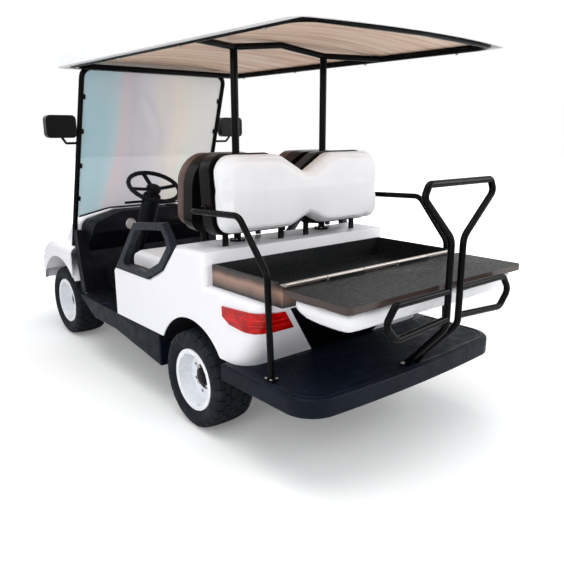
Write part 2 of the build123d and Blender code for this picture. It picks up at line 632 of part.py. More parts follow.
def cowl_form(inset):
    """Hood and both fenders as one solid."""
    left, right = left_and_right(fender_form(inset))
    return hood_form(inset) + left + right


def front_cowl():
    """The white front cowl: a hollow shell, open at the rear and below, with two wheel arches."""
    width = FENDER_HALF_WIDTH + 10
    shell = cowl_form(0.0) - cowl_form(COWL_WALL)
    rear = (COWL_REAR_Y - 2 * COWL_WALL, COWL_REAR_Y + 20)
    shell -= block((-width, width), rear, (0, COWL_TOP_Z - CROWN_DROP - HOOD_ROUND))
    shell -= block((-width, width), (COWL_NOSE_Y - 20, COWL_REAR_Y + 20), (0, COWL_BOTTOM_Z + 1))
    for x in ((FRONT_LINER_X, width), (-width, -FRONT_LINER_X)):
        shell -= arch(FRONT_ARCH_RADIUS, FRONT_AXLE_Y, x)
    return shell


def head_lamps():
    """Two clear lenses on the fenders' fronts."""
    skin = cowl_form(-LAMP_PROUD) - cowl_form(-SEAT_GAP)
    return left_and_right(skin & side_slab(HEAD_LAMP, (HEAD_LAMP_X, FENDER_HALF_WIDTH + 50)))


BUMPER_Z = (252.0, 338.0)
BUMPER_DEPTH = 40.0
BUMPER_HALF_WIDTH = FENDER_HALF_WIDTH - 88.0
BUMPER_REAR_Y = NOSE_Y + 140.0
BUMPER_CORNER = 110.0
TOW_EYE_RADIUS = 13.0
TOW_EYE_Y = NOSE_Y + 62.0
TOW_EYE_Z = 295.0
TOW_EYE_PLATE = 10.0


def front_bumper():
    """A dark bumper bar that wraps round the nose, bolted to the rails' ends."""
    bars = []
    for inset in (0.0, BUMPER_DEPTH):
        half = BUMPER_HALF_WIDTH - inset
        low, high = NOSE_Y + inset, BUMPER_REAR_Y + inset
        sketch = Pos(0, (low + high) / 2) * Rectangle(2 * half, high - low)
        sketch = fillet(sketch.vertices().group_by(Axis.Y)[0], BUMPER_CORNER - inset)
        bars.append(Pos(0, 0, BUMPER_Z[0]) * extrude(sketch, amount=BUMPER_Z[1] - BUMPER_Z[0]))
    bumper = bars[0] - bars[1]
    stays = (RAIL_X - RAIL_WIDTH / 2, RAIL_X + RAIL_WIDTH / 2)
    for x in (stays, (-stays[1], -stays[0])):
        y = (NOSE_Y + BUMPER_DEPTH / 2, RAIL_FRONT_Y - SEAT_GAP)
        bumper += block(x, y, (RAIL_BOTTOM_Z, BUMPER_Z[1]))
    eye = (NOSE_Y + BUMPER_DEPTH - 1, TOW_EYE_Y + TOW_EYE_RADIUS + 15)
    bumper += block((-30, 30), eye, (TOW_EYE_Z - TOW_EYE_PLATE / 2, TOW_EYE_Z + TOW_EYE_PLATE / 2))
    return bumper - upright(TOW_EYE_RADIUS, 0, TOW_EYE_Y, BUMPER_Z)


# ---- floor, dashboard, controls ----------------------------------------------------------
DASH_WALL = 42.0
DASH_WAIST_Z = 600.0
CHEEK_TOP_Z = DASH_TOP_Z - 107.0
CHEEK_X = (DASH_HALF_WIDTH - 8.0, FLOOR_HALF_WIDTH)
PEDAL_X = ((135.0, 200.0), (300.0, 355.0))


def floor_panel():
    """The flat cabin floor between dashboard and rear body."""
    half = FLOOR_HALF_WIDTH
    return block((-half, half), (FLOOR_FRONT_Y, BODY_FRONT_Y - SEAT_GAP), (RAIL_TOP_Z, FLOOR_TOP_Z))


def rocker_panels():
    """The dark side steps below the cabin and the seat."""
    slant = ROCKER_NOSE_SLANT
    outline = [(ROCKER_FRONT_Y, ROCKER_TOP_Z), (ROCKER_FRONT_Y + slant, ROCKER_BOTTOM_Z),
               (ROCKER_DIP_Y, ROCKER_BOTTOM_Z), (ROCKER_REAR_Y, ROCKER_HEEL_Z),
               (ROCKER_REAR_Y, ROCKER_TOP_Z)]
    inner = FLOOR_HALF_WIDTH + SEAT_GAP
    outer = inner + ROCKER_WIDTH
    rocker = side_slab(outline, (inner, outer))
    edges = [edge for edge in rocker.edges() if abs(edge.center().X - outer) < 0.01]
    return left_and_right(fillet(edges, 9.0))


def dashboard():
    """The dark inner cowl: toe wall, side cheeks and an overhanging dash top."""
    foot = FLOOR_TOP_Z + SEAT_GAP
    back = COWL_REAR_Y + SEAT_GAP
    outline = [(FLOOR_FRONT_Y + DASH_WALL, foot), (back + DASH_WALL, DASH_WAIST_Z),
               (DASH_LIP_Y - 20, DASH_LIP_Z - 80), (DASH_LIP_Y, DASH_LIP_Z - 60),
               (DASH_LIP_Y, DASH_LIP_Z), (DASH_LIP_Y - 55, DASH_TOP_Z), (back, DASH_TOP_Z),
               (back, DASH_WAIST_Z), (FLOOR_FRONT_Y, foot)]
    section = Plane.XZ * crowned_face(DASH_HALF_WIDTH, foot - 10, DASH_TOP_Z, HOOD_ROUND)
    crown = Pos(0, BODY_FRONT_Y, 0) * extrude(section, amount=WHEELBASE)
    dash = side_slab(outline, (-DASH_HALF_WIDTH, DASH_HALF_WIDTH)) & crown
    cheek = [(FLOOR_FRONT_Y + 60, foot), (FLOOR_FRONT_Y + 20, DASH_WAIST_Z - 40),
             (FLOOR_FRONT_Y, CHEEK_TOP_Z), (back + 22, CHEEK_TOP_Z), (back + 18, DASH_WAIST_Z),
             (FLOOR_FRONT_Y, foot)]
    left, right = left_and_right(side_slab(cheek, CHEEK_X))
    return dash + left + right


def pedals():
    """Brake and accelerator plates that stand on the floor."""
    foot = FLOOR_TOP_Z + SEAT_GAP
    heel = FLOOR_FRONT_Y + 100.0
    outline = [(heel, foot), (heel + 38, foot), (heel - 48, foot + 155), (heel - 62, foot + 147)]
    return [side_slab(outline, x) for x in PEDAL_X]


STEER_FRAME = Pos(STEER_X, STEER_Y, STEER_Z) * Rot(-STEER_TILT, 0, 0)
STEER_HUB_RADIUS = 42.0
STEER_HUB_DROP = 34.0
COLUMN_TOP = -62.0            # along the column, from the wheel's plane
SHROUD_RADIUS = 50.0
SHROUD_BOTTOM = -250.0
STALK_DROP = -95.0
STALK_LENGTH = 160.0


def steering_wheel():
    """Rim, three spokes, hub and shaft, turning about the column."""
    wheel = Torus(STEER_RADIUS, STEER_RIM)
    wheel += Pos(0, 0, -STEER_HUB_DROP / 2) * Cylinder(STEER_HUB_RADIUS, STEER_HUB_DROP)
    for angle in (0.0, 180.0, -90.0):
        inner = STEER_HUB_RADIUS - 10
        spoke = Pos((inner + STEER_RADIUS) / 2, 0, -8) * Box(STEER_RADIUS - inner, 30, 8)
        wheel += Rot(0, 0, angle) * spoke
    wheel += Pos(0, 0, (COLUMN_TOP - 80) / 2) * Cylinder(STEER_SHAFT, 80 - COLUMN_TOP)
    return STEER_FRAME * wheel


def steering_column():
    """The column from the floor to the wheel, its shroud and a side stalk."""
    length = (STEER_Z - FLOOR_TOP_Z) / cos(radians(STEER_TILT)) + 60
    column = Pos(0, 0, (COLUMN_TOP - length) / 2) * Cylinder(COLUMN_RADIUS, length + COLUMN_TOP)
    shroud = Cylinder(SHROUD_RADIUS, COLUMN_TOP - SHROUD_BOTTOM)
    column += Pos(0, 0, (COLUMN_TOP + SHROUD_BOTTOM) / 2) * shroud
    column += across(7.0, (0, STALK_LENGTH), 0, STALK_DROP)
    bore_bottom = COLUMN_TOP - 90
    bore = Cylinder(STEER_SHAFT + RUNNING_GAP, COLUMN_TOP - bore_bottom + 2)
    column -= Pos(0, 0, (COLUMN_TOP + bore_bottom) / 2 + 1) * bore
    half = 2 * FLOOR_HALF_WIDTH
    return STEER_FRAME * column - block((-half, half), (-2 * WHEELBASE, 0), (-half, FLOOR_TOP_Z + SEAT_GAP))


BATTERY_HALF_WIDTH = 330.0
BATTERY_GAP = 50.0


def battery_pack():
    """The traction batteries under the front seat, one plain block on the rails."""
    y = (BODY_FRONT_Y + MEMBER_LENGTH + BATTERY_GAP, ARCH_Y - ARCH_RADIUS - BATTERY_GAP)
    return block((-BATTERY_HALF_WIDTH, BATTERY_HALF_WIDTH), y, (RAIL_TOP_Z + SEAT_GAP, SEAT_SHELF_Z - 20))


# ---- windshield --------------------------------------------------------------------------
def pillar_y(z):
    """The windshield pillar's station at a height."""
    return PILLAR_TOP_Y - (PILLAR_TOP_Z - z) * tan(radians(PILLAR_RAKE))


def windshield_frame():
    """One black tube: two raked pillars from the fenders and a top bar."""
    foot = FENDER_TOP_Z + SEAT_GAP
    points = []
    for side in (1, -1):
        x = side * PILLAR_X
        ends = [(x, pillar_y(foot - 20), foot - 20), (x, PILLAR_TOP_Y, PILLAR_TOP_Z)]
        points += ends if side > 0 else ends[::-1]
    half = PILLAR_X + 50
    hoop = bar(points, PILLAR_RADIUS, PILLAR_CORNER)
    return hoop - block((-half, half), (pillar_y(foot) - 60, pillar_y(foot) + 60), (foot - 60, foot))


def windshield():
    """A clear sheet between the pillars."""
    half = PILLAR_X - PILLAR_RADIUS - SEAT_GAP
    drop = (PILLAR_TOP_Z - COWL_TOP_Z + CROWN_DROP) / cos(radians(PILLAR_RAKE))
    top = -PILLAR_RADIUS - SEAT_GAP
    sheet = Pos(0, 0, (top - drop) / 2) * Box(2 * half, GLASS_THICKNESS, top + drop)
    corners = [edge for edge in sheet.edges().filter_by(Axis.Y) if edge.center().Z > -drop / 2]
    sheet = fillet(corners, PILLAR_CORNER - PILLAR_RADIUS)
    sheet = Pos(0, PILLAR_TOP_Y, PILLAR_TOP_Z) * Rot(-PILLAR_RAKE, 0, 0) * sheet
    crown = crowned_face(COWL_HALF_WIDTH + 50, COWL_BOTTOM_Z, COWL_TOP_Z + GLASS_LIFT, HOOD_ROUND)
    return sheet - Pos(0, COWL_REAR_Y + WHEELBASE / 2, 0) * extrude(Plane.XZ * crown, amount=WHEELBASE)


MIRROR_X = (PILLAR_X + 27.0, PILLAR_X + 199.0)
MIRROR_Y = PILLAR_TOP_Y - 104.0
MIRROR_Z = (1292.0, 1418.0)
MIRROR_DEPTH = 46.0
MIRROR_ARM_Z = 1262.0


def mirrors():
    """Two mirror heads, each on an arm from its pillar."""
    head = block(MIRROR_X, (MIRROR_Y - MIRROR_DEPTH / 2, MIRROR_Y + MIRROR_DEPTH / 2), MIRROR_Z)
    head = fillet(head.edges().filter_by(Axis.Y), 26.0)
    middle = (MIRROR_X[0] + MIRROR_X[1]) / 2
    root = (PILLAR_X + PILLAR_RADIUS * 0.9, pillar_y(MIRROR_ARM_Z), MIRROR_ARM_Z)
    elbow = (middle - 30, MIRROR_Y - 8, MIRROR_ARM_Z)
    arm = bar([root, elbow, (middle, MIRROR_Y, MIRROR_Z[0] + 10)], 7.0, 14.0)
    clear = PILLAR_RADIUS + SEAT_GAP
    hoop = bar([(PILLAR_X, pillar_y(MIRROR_ARM_Z - 60), MIRROR_ARM_Z - 60),
                (PILLAR_X, pillar_y(MIRROR_ARM_Z + 60), MIRROR_ARM_Z + 60)], clear)
    return left_and_right((head + arm) - hoop)


# ---- roof --------------------------------------------------------------------------------
ROOF_CORNER = 70.0
ROOF_ARCH_HALF = ROOF_HALF_WIDTH + 30.0
ROOF_TOP_EDGE_Z = ROOF_TOP_Z - 20.0       # of the crown at that half width
CEILING_EDGE_Z = FRAME_Z + FRAME_TUBE_RADIUS + SEAT_GAP
CROSSBAR_RISE = 34.0
POST_FLANGE_RADIUS = 38.0
POST_FLANGE = 8.0


def bowed_plan(half, y, bow, corner, front_corner, z):
    """A prism over a plan with straight sides, a bowed rear edge and round corners."""
    tail = ThreePointArc((half, y[1]), (0, y[1] + bow), (-half, y[1]))
    sides = Polyline((-half, y[1]), (-half, y[0]), (half, y[0]), (half, y[1]))
    face = make_face([tail, sides])
    rows = face.vertices().group_by(Axis.Y)
    face = fillet(rows[-1], corner)
    if front_corner:
        face = fillet(face.vertices().group_by(Axis.Y)[0], front_corner)
    return Pos(0, 0, z[0]) * extrude(face, amount=z[1] - z[0])


def roof_plan(inset, z):
    """The roof seen from above."""
    y = (ROOF_FRONT_Y + inset, ROOF_REAR_Y - inset)
    corner = ROOF_CORNER - inset
    return bowed_plan(ROOF_HALF_WIDTH - inset, y, ROOF_REAR_BOW, corner, corner, z)


def roof_arch(half, edge_z, middle_z, base_z):
    """A slab along the cart whose top is an arc across it."""
    over = ThreePointArc((half, edge_z), (0, middle_z), (-half, edge_z))
    under = Polyline((-half, edge_z), (-half, base_z), (half, base_z), (half, edge_z))
    face = Plane.XZ * make_face([over, under])
    length = 2 * WHEELBASE
    return Pos(0, length / 2 + FRONT_AXLE_Y / 2, 0) * extrude(face, amount=length)


def roof_canopy():
    """The white roof: a crowned sheet with a turned-down lip, hollow over the frame."""
    crown = roof_arch(ROOF_ARCH_HALF, ROOF_TOP_EDGE_Z, ROOF_TOP_Z, ROOF_LIP_Z - 20)
    sheet = crown & roof_plan(0.0, (ROOF_LIP_Z, ROOF_TOP_Z + 20))
    crossbar_z = CEILING_EDGE_Z + CROSSBAR_RISE
    pocket = roof_arch(FRAME_HALF_WIDTH, CEILING_EDGE_Z, crossbar_z, ROOF_LIP_Z - 20)
    rail = FRAME_HALF_WIDTH + FRAME_TUBE_RADIUS + SEAT_GAP
    pocket += block((-rail, rail), (NOSE_Y, GRAB_BAR_Y), (ROOF_LIP_Z - 20, CEILING_EDGE_Z))
    return sheet - (pocket & roof_plan(ROOF_LIP_WIDTH, (ROOF_LIP_Z - 20, ROOF_TOP_Z)))


def roof_frame():
    """Side rails, cross bars and the two posts between the seat backs."""
    half = FRAME_HALF_WIDTH
    z = FRAME_Z
    rail = [(half, FRAME_FRONT_Y, z), (half, FRAME_REAR_Y, z), (0, FRAME_REAR_Y + FRAME_BOW, z),
            (-half, FRAME_REAR_Y, z), (-half, FRAME_FRONT_Y, z)]
    loop = bar(rail, FRAME_TUBE_RADIUS, FRAME_CORNER)
    loop += across(FRAME_TUBE_RADIUS, (-half, half), FRAME_FRONT_Y, FRAME_Z)
    post_z = FRAME_Z + 6
    hoop = [(half, CROSSBAR_END_Y, z), (POST_X, POST_Y, post_z), (0, POST_Y, z + CROSSBAR_RISE),
            (-POST_X, POST_Y, post_z), (-half, CROSSBAR_END_Y, z)]
    loop += bar(hoop, FRAME_TUBE_RADIUS - 1, FRAME_CORNER)
    foot = HUMP_TOP_Z + SEAT_GAP
    for x in (-POST_X, POST_X):
        loop += upright(POST_RADIUS, x, POST_Y, (foot, post_z))
        loop += upright(POST_FLANGE_RADIUS, x, POST_Y, (foot, foot + POST_FLANGE))
    return loop


# ---- seats -------------------------------------------------------------------------------
REAR_BACK_CORNER = 80.0
FRONT_BACK_CORNER = 140.0
BACK_FOOT_CORNER = 62.0
TOP_NOTCH_ROUND = (90.0, 45.0)       # at the humps and at the bottom of the notch
FOOT_NOTCH_ROUND = (60.0, 40.0)
BACK_EDGE = 24.0
BACK_MID_Z = (BACK_BOTTOM_Z + BACK_TOP_Z) / 2
SHELL_FACE = 35.0             # from the posts' plane to the shell's near face, at mid height
BRACKET_X = (80.0, 400.0)
BRACKET_WIDTH = 26.0
BRACKET_DEPTH = 12.0


def back_outline(shrink, corner):
    """A backrest's outline seen from behind: two humps with a notch between them."""
    half = BACK_HALF_WIDTH - shrink
    low, high = BACK_BOTTOM_Z + shrink - BACK_MID_Z, BACK_TOP_Z - shrink - BACK_MID_Z
    top, depth = BACK_TOP_NOTCH
    foot, rise = BACK_FOOT_NOTCH
    points = [(half, low), (half, high), (top, high), (0, high - depth), (-top, high), (-half, high),
              (-half, low), (-foot, low), (0, low + rise), (foot, low)]
    hump, valley = TOP_NOTCH_ROUND
    lobe, peak = FOOT_NOTCH_ROUND
    radii = [BACK_FOOT_CORNER, corner, hump, valley, hump, corner, BACK_FOOT_CORNER, lobe, peak, lobe]
    return make_face(FilletPolyline(*points, radius=radii, close=True))


def back_slab(shrink, corner, near, thickness, edge):
    """A backrest layer that starts near the posts and is thickness deep towards the rear."""
    slab = extrude(Plane.XZ * back_outline(shrink, corner), amount=-thickness)
    slab = fillet(slab.faces().sort_by(Axis.Y)[-1].edges(), edge)
    return Pos(0, POST_Y, BACK_MID_Z) * Rot(BACK_LEAN, 0, 0) * Pos(0, near, 0) * slab


def facing_front(piece):
    """The same piece for the front seat, facing the other way."""
    return mirror(piece, about=Plane.XZ.offset(-POST_Y))


def backrest_cushion(corner):
    """A rear-facing padded backrest."""
    near = SHELL_FACE + SHELL_THICKNESS + SEAT_GAP
    return back_slab(0.0, corner, near, BACK_THICKNESS, BACK_EDGE)


def backrest_shell(corner):
    """The dark shell behind a backrest cushion, on four brackets from the body."""
    shell = back_slab(SHELL_MARGIN, corner, SHELL_FACE, SHELL_THICKNESS, 3.0)
    lean = tan(radians(BACK_LEAN))
    foot_y = POST_Y + SHELL_FACE + SHELL_THICKNESS / 2 + (BACK_MID_Z - BACK_BOTTOM_Z) * lean
    for middle in BRACKET_X:
        for x in (middle, -middle):
            shell += block((x - BRACKET_WIDTH / 2, x + BRACKET_WIDTH / 2),
                           (foot_y - BRACKET_DEPTH / 2, foot_y + BRACKET_DEPTH / 2),
                           (HUMP_TOP_Z + SEAT_GAP, BACK_BOTTOM_Z + BACK_FOOT_NOTCH[1] + 20))
    return shell


def front_seat_cushion():
    """The front bench cushion."""
    pad = block((-SEAT_HALF_WIDTH, SEAT_HALF_WIDTH), (CUSHION_FRONT_Y, CUSHION_REAR_Y),
                (SEAT_SHELF_Z + SEAT_GAP, SEAT_SHELF_Z + SEAT_GAP + CUSHION_THICKNESS))
    return fillet(pad.faces().sort_by(Axis.Z)[-1].edges(), 26.0)


RESTRAINT_X = (BODY_HALF_WIDTH - 34.0, BODY_HALF_WIDTH + 2.0)
RESTRAINT_BAND = 34.0
RESTRAINT_TOP = ((-165.0, 865.0), (-215.0, 922.0), (-500.0, 893.0))


def hip_restraints():
    """A moulded loop on each side of the front seat."""
    lift = SEAT_GAP
    outline = [(SADDLE_FRONT[0], SADDLE_FRONT[1] + lift), (SADDLE_LOW[0], SADDLE_LOW[1] + lift),
               (SADDLE_RISE[0] - lift, SADDLE_RISE[1] + lift), (SADDLE_TOP[0] - lift, SADDLE_TOP[1] + lift),
               *RESTRAINT_TOP]
    face = make_face(Polyline(*outline, close=True))
    ring = face - fillet(offset(face, -RESTRAINT_BAND, kind=Kind.INTERSECTION).vertices(), 18.0)
    return left_and_right(side_slab(ring, RESTRAINT_X))


# ---- rear deck ---------------------------------------------------------------------------
def footplate():
    """The rear footplate with large rear corners."""
    z = (FOOTPLATE_TOP_Z - FOOTPLATE_THICKNESS, FOOTPLATE_TOP_Z)
    y = (FOOTPLATE_FRONT_Y, FOOTPLATE_REAR_Y)
    plate = bowed_plan(FOOTPLATE_HALF_WIDTH, y, FOOTPLATE_BOW, FOOTPLATE_CORNER, 0.0, z)
    return fillet(plate.faces().sort_by(Axis.Z)[-1].edges(), 12.0)


HINGE_SEAT_Z = TRAY_TOP_Z - 12.0
HINGE_STEP_Y = TRAY_REAR_Y - 25.0
KNUCKLE_SPAN = 2 * TRAY_HALF_WIDTH - 16.0


def cargo_tray():
    """The fixed half of the cargo bed: a shallow open box on the body's shelf."""
    half = TRAY_HALF_WIDTH
    tray = block((-half, half), (TRAY_FRONT_Y, TRAY_REAR_Y), (TRAY_BOTTOM_Z, TRAY_TOP_Z))
    tray -= block((TRAY_WALL - half, half - TRAY_WALL), (TRAY_FRONT_Y + TRAY_WALL, HINGE_STEP_Y),
                  (TRAY_BOTTOM_Z + TRAY_FLOOR, TRAY_TOP_Z + 1))
    step = (HINGE_STEP_Y, TRAY_REAR_Y + 1)
    return tray - block((-half - 1, half + 1), step, (HINGE_SEAT_Z, TRAY_TOP_Z + 1))


def hinge_spans():
    """The x range of each hinge knuckle, from left to right."""
    pitch = KNUCKLE_SPAN / HINGE_KNUCKLES
    starts = [pitch * turn - KNUCKLE_SPAN / 2 for turn in range(HINGE_KNUCKLES)]
    return [(x + HINGE_GAP, x + pitch - HINGE_GAP) for x in starts]


def hinge_strip():
    """The bright hinge leaf on the tray, its knuckles and the pin."""
    leaf_z = (HINGE_SEAT_Z + SEAT_GAP, HINGE_SEAT_Z + SEAT_GAP + HINGE_LEAF)
    leaf = block((-KNUCKLE_SPAN / 2, KNUCKLE_SPAN / 2), (HINGE_STEP_Y + SEAT_GAP, TRAY_REAR_Y), leaf_z)
    for x in hinge_spans()[::2]:
        leaf += block(x, (TRAY_REAR_Y - 1, HINGE_Y), leaf_z)
        leaf += across(HINGE_RADIUS, x, HINGE_Y, HINGE_Z)
    return leaf + across(HINGE_PIN, (-KNUCKLE_SPAN / 2, KNUCKLE_SPAN / 2), HINGE_Y, HINGE_Z)


def flip_deck():
    """The flip-over half of the bed, hung on its own knuckles."""
    half = DECK_HALF_WIDTH
    z = (DECK_TOP_Z - DECK_THICKNESS, DECK_TOP_Z)
    deck = block((-half, half), (DECK_FRONT_Y, DECK_REAR_Y), z)
    deck = fillet(deck.edges().filter_by(Axis.Z).group_by(Axis.Y)[-1], 22.0)
    for x in hinge_spans()[1::2]:
        deck += block(x, (HINGE_Y, DECK_FRONT_Y + 2), (DECK_TOP_Z - 12, HINGE_Z))
        deck += across(HINGE_RADIUS, x, HINGE_Y, HINGE_Z)
    return deck - across(HINGE_PIN + RUNNING_GAP, (-half, half), HINGE_Y, HINGE_Z)


def flip_cushion():
    """The rear bench cushion, hung under the deck while the deck is folded out."""
    half = FLIP_CUSHION_HALF_WIDTH
    top = DECK_TOP_Z - DECK_THICKNESS - SEAT_GAP
    pad = block((-half, half), (DECK_FRONT_Y + FLIP_CUSHION_INSET, DECK_REAR_Y - FLIP_CUSHION_INSET - 9),
                (top - FLIP_CUSHION_THICKNESS, top))
    return fillet(pad.faces().sort_by(Axis.Z)[0].edges(), FLIP_CUSHION_ROUND)


# ---- hand rails --------------------------------------------------------------------------
ARM_TOP_Z = 998.0
ARM_BEND = (352.0, 1010.0)
ARM_ELBOW = (524.0, 810.0)
ARM_FOOT_Y = 545.0
FOOT_RADIUS = 28.0
FOOT_HEIGHT = 8.0


def arm_rails():
    """A bent tube on each side, from the backrest's shell down to the footplate."""
    lean = tan(radians(BACK_LEAN))
    y = POST_Y + SHELL_FACE + SHELL_THICKNESS / 4 - (ARM_TOP_Z - BACK_MID_Z) * lean
    root = BACK_HALF_WIDTH - SHELL_MARGIN + SEAT_GAP
    foot = FOOTPLATE_TOP_Z + SEAT_GAP
    rail = bar([(root, y, ARM_TOP_Z), (ARM_X, y, ARM_TOP_Z), (ARM_X, *ARM_BEND), (ARM_X, *ARM_ELBOW),
                (ARM_X, ARM_FOOT_Y, foot)], ARM_RADIUS, [38.0, 60.0, 60.0])
    rail = rail - block((0, 2 * ARM_X), (0, 2 * ARM_FOOT_Y), (foot - 50, foot))
    return left_and_right(rail + upright(FOOT_RADIUS, ARM_X, ARM_FOOT_Y, (foot, foot + FOOT_HEIGHT)))


GRAB_SHOULDER = (214.0, 1100.0)      # (x, z) of the loop's widest corner
GRAB_BEND_Z = 600.0
GRAB_FOOT = (28.0, 770.0)            # (x, y) on the footplate
SIDE_LOOP_OUT = 390.0
SIDE_LOOP_Z = (617.0, 745.0)


def grab_bar():
    """The rear grab bar: a handle loop on two legs, with a side loop on each leg."""
    y = GRAB_BAR_Y
    foot = FOOTPLATE_TOP_Z + SEAT_GAP
    half = [(GRAB_FOOT[0], GRAB_FOOT[1] - 8, foot - 10), (GRAB_NECK_HALF, y, GRAB_BEND_Z),
            (GRAB_NECK_HALF, y, GRAB_NECK_Z),
            (GRAB_SHOULDER[0], y, GRAB_SHOULDER[1]), (GRAB_HALF_WIDTH, y, GRAB_TOP_Z)]
    points = half + [(-x, *rest) for x, *rest in reversed(half)]
    radii = [70.0, 60.0, 26.0, 22.0]
    grab = bar(points, GRAB_BAR_RADIUS, radii + radii[::-1])
    low, high = SIDE_LOOP_Z
    outward = [(GRAB_NECK_HALF, y, low + 20), (SIDE_LOOP_OUT - 60, y, low),
               (SIDE_LOOP_OUT, y, (low + high) / 2), (SIDE_LOOP_OUT - 50, y, high),
               (GRAB_NECK_HALF, y, high)]
    side = bar(outward, GRAB_BAR_RADIUS, [40.0, 34.0, 34.0])
    for loop in left_and_right(side):
        grab += loop
    grab -= block((-100, 100), (0, y), (foot - 60, foot))
    for x in (-GRAB_FOOT[0], GRAB_FOOT[0]):
        grab += upright(FOOT_RADIUS - 4, x, GRAB_FOOT[1], (foot, foot + FOOT_HEIGHT))
    return grab


def main():
    """Write every node."""
    os.makedirs("parts", exist_ok=True)
    save_wheels()
    left_knuckle, right_knuckle = left_and_right(knuckle())
    save("knuckle_left", left_knuckle)
    save("knuckle_right", right_knuckle)
    save("front_axle", front_axle())
    save("rear_axle", rear_axle())
    save("leaf_springs", *leaf_springs())
    save("chassis_frame", chassis_frame())
    save("drive_motor", drive_motor())
    save("battery_pack", battery_pack())
    save("floor_panel", floor_panel())
    save("rocker_panels", *rocker_panels())
    save("front_cowl", front_cowl())
    save("head_lamps", *head_lamps())
    save("front_bumper", front_bumper())
    save("wheel_liners", *wheel_liners())
    save("dashboard", dashboard())
    save("pedals", *pedals())
    save("steering_column", steering_column())
    save("steering_wheel", steering_wheel())
    save("windshield_frame", windshield_frame())
    save("windshield", windshield())
    save("mirrors", *mirrors())
    save("roof_canopy", roof_canopy())
    save("roof_frame", roof_frame())
    save("rear_body", rear_body())
    save("rear_panel", rear_panel())
    save("tail_lamps", *tail_lamps())
    save("front_seat_cushion", front_seat_cushion())
    front_shell = facing_front(backrest_shell(FRONT_BACK_CORNER))
    save("backrest_shells", backrest_shell(REAR_BACK_CORNER), front_shell)
    save("rear_backrest_cushion", backrest_cushion(REAR_BACK_CORNER))
    save("front_backrest_cushion", facing_front(backrest_cushion(FRONT_BACK_CORNER)))
    save("hip_restraints", *hip_restraints())
    save("arm_rails", *arm_rails())
    save("footplate", footplate())
    save("grab_bar", grab_bar())
    save("cargo_tray", cargo_tray())
    save("hinge_strip", hinge_strip())
    save("flip_deck", flip_deck())
    save("flip_cushion", flip_cushion())


main()
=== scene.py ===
"""Finished looks of an open four-seat golf cart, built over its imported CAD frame.

Every length is in metres in the frame's own axes: +Z up, -Y towards the nose, +X the cart's left.
"""

import json
import logging
import math
from dataclasses import dataclass, field
from enum import Enum
from typing import Callable, Iterable, Sequence

import bmesh
import bpy
from mathutils import Matrix, Vector, noise

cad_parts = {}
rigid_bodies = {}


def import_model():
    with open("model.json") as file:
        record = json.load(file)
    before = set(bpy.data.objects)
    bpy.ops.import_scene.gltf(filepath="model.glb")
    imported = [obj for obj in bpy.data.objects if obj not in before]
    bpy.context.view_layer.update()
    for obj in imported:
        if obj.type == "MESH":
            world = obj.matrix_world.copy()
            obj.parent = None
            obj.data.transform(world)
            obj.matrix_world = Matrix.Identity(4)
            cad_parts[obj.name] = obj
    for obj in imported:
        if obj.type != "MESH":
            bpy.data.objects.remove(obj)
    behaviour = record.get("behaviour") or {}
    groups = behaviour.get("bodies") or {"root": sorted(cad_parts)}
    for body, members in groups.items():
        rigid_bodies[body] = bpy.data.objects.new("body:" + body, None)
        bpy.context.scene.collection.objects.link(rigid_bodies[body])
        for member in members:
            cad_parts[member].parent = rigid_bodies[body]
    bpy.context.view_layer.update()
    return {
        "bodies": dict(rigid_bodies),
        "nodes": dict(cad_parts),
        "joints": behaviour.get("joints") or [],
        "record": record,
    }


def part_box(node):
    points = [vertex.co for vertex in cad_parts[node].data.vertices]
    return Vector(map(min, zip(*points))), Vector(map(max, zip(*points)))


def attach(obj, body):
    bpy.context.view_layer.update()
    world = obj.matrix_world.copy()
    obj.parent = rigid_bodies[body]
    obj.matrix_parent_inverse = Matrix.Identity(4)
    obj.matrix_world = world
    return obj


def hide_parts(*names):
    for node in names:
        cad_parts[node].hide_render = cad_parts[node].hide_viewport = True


LOG = logging.getLogger("golf_cart")

Colour = tuple[float, float, float]
Point = tuple[float, float, float]
Outline = tuple[tuple[float, float], ...]
Stops = tuple[tuple[float, Colour], ...]
Shape = tuple[list[Vector], list[tuple[int, ...]]]
Socket = bpy.types.NodeSocket

CHASSIS = "chassis"
NOISE_LOW, NOISE_HIGH = 0.3, 0.7  # a noise texture keeps nearly all of its values between these
WHITE = (1, 1, 1, 1)


class Slot(str, Enum):
    """The record's material slots."""

    BODY = "body_white"
    ROOF = "roof_white"
    SEAT = "seat_white"
    MOULDING = "black_moulding"
    GLOSS = "black_gloss"
    TUBE = "black_tube"
    FRAME = "frame_steel"
    CAST = "cast_steel"
    BATTERY = "battery"
    TYRE = "tyre_rubber"
    RIM = "rim_white"
    CLEAR = "clear_sheet"
    RED = "lamp_red"
    LAMP = "lamp_clear"
    BRIGHT = "bright_metal"


class End(Enum):
    """The cart's two ends, by their names in node names."""

    FRONT = "front"
    REAR = "rear"


class Side(Enum):
    """The cart's two sides, with the sign of their x."""

    LEFT = 1
    RIGHT = -1

    @property
    def word(self) -> str:
        """The side's name in node names."""
        return self.name.lower()

    @property
    def mirror(self) -> Matrix:
        """The matrix that turns a left-hand shape into this side's."""
        return Matrix.Scale(self.value, 4, (1, 0, 0))


class Plane(Enum):
    """The planes that an arc can lie in, as the axes of its two coordinates."""

    XY = (0, 1)
    XZ = (0, 2)


# ---- finishes ----------------------------------------------------------------------------


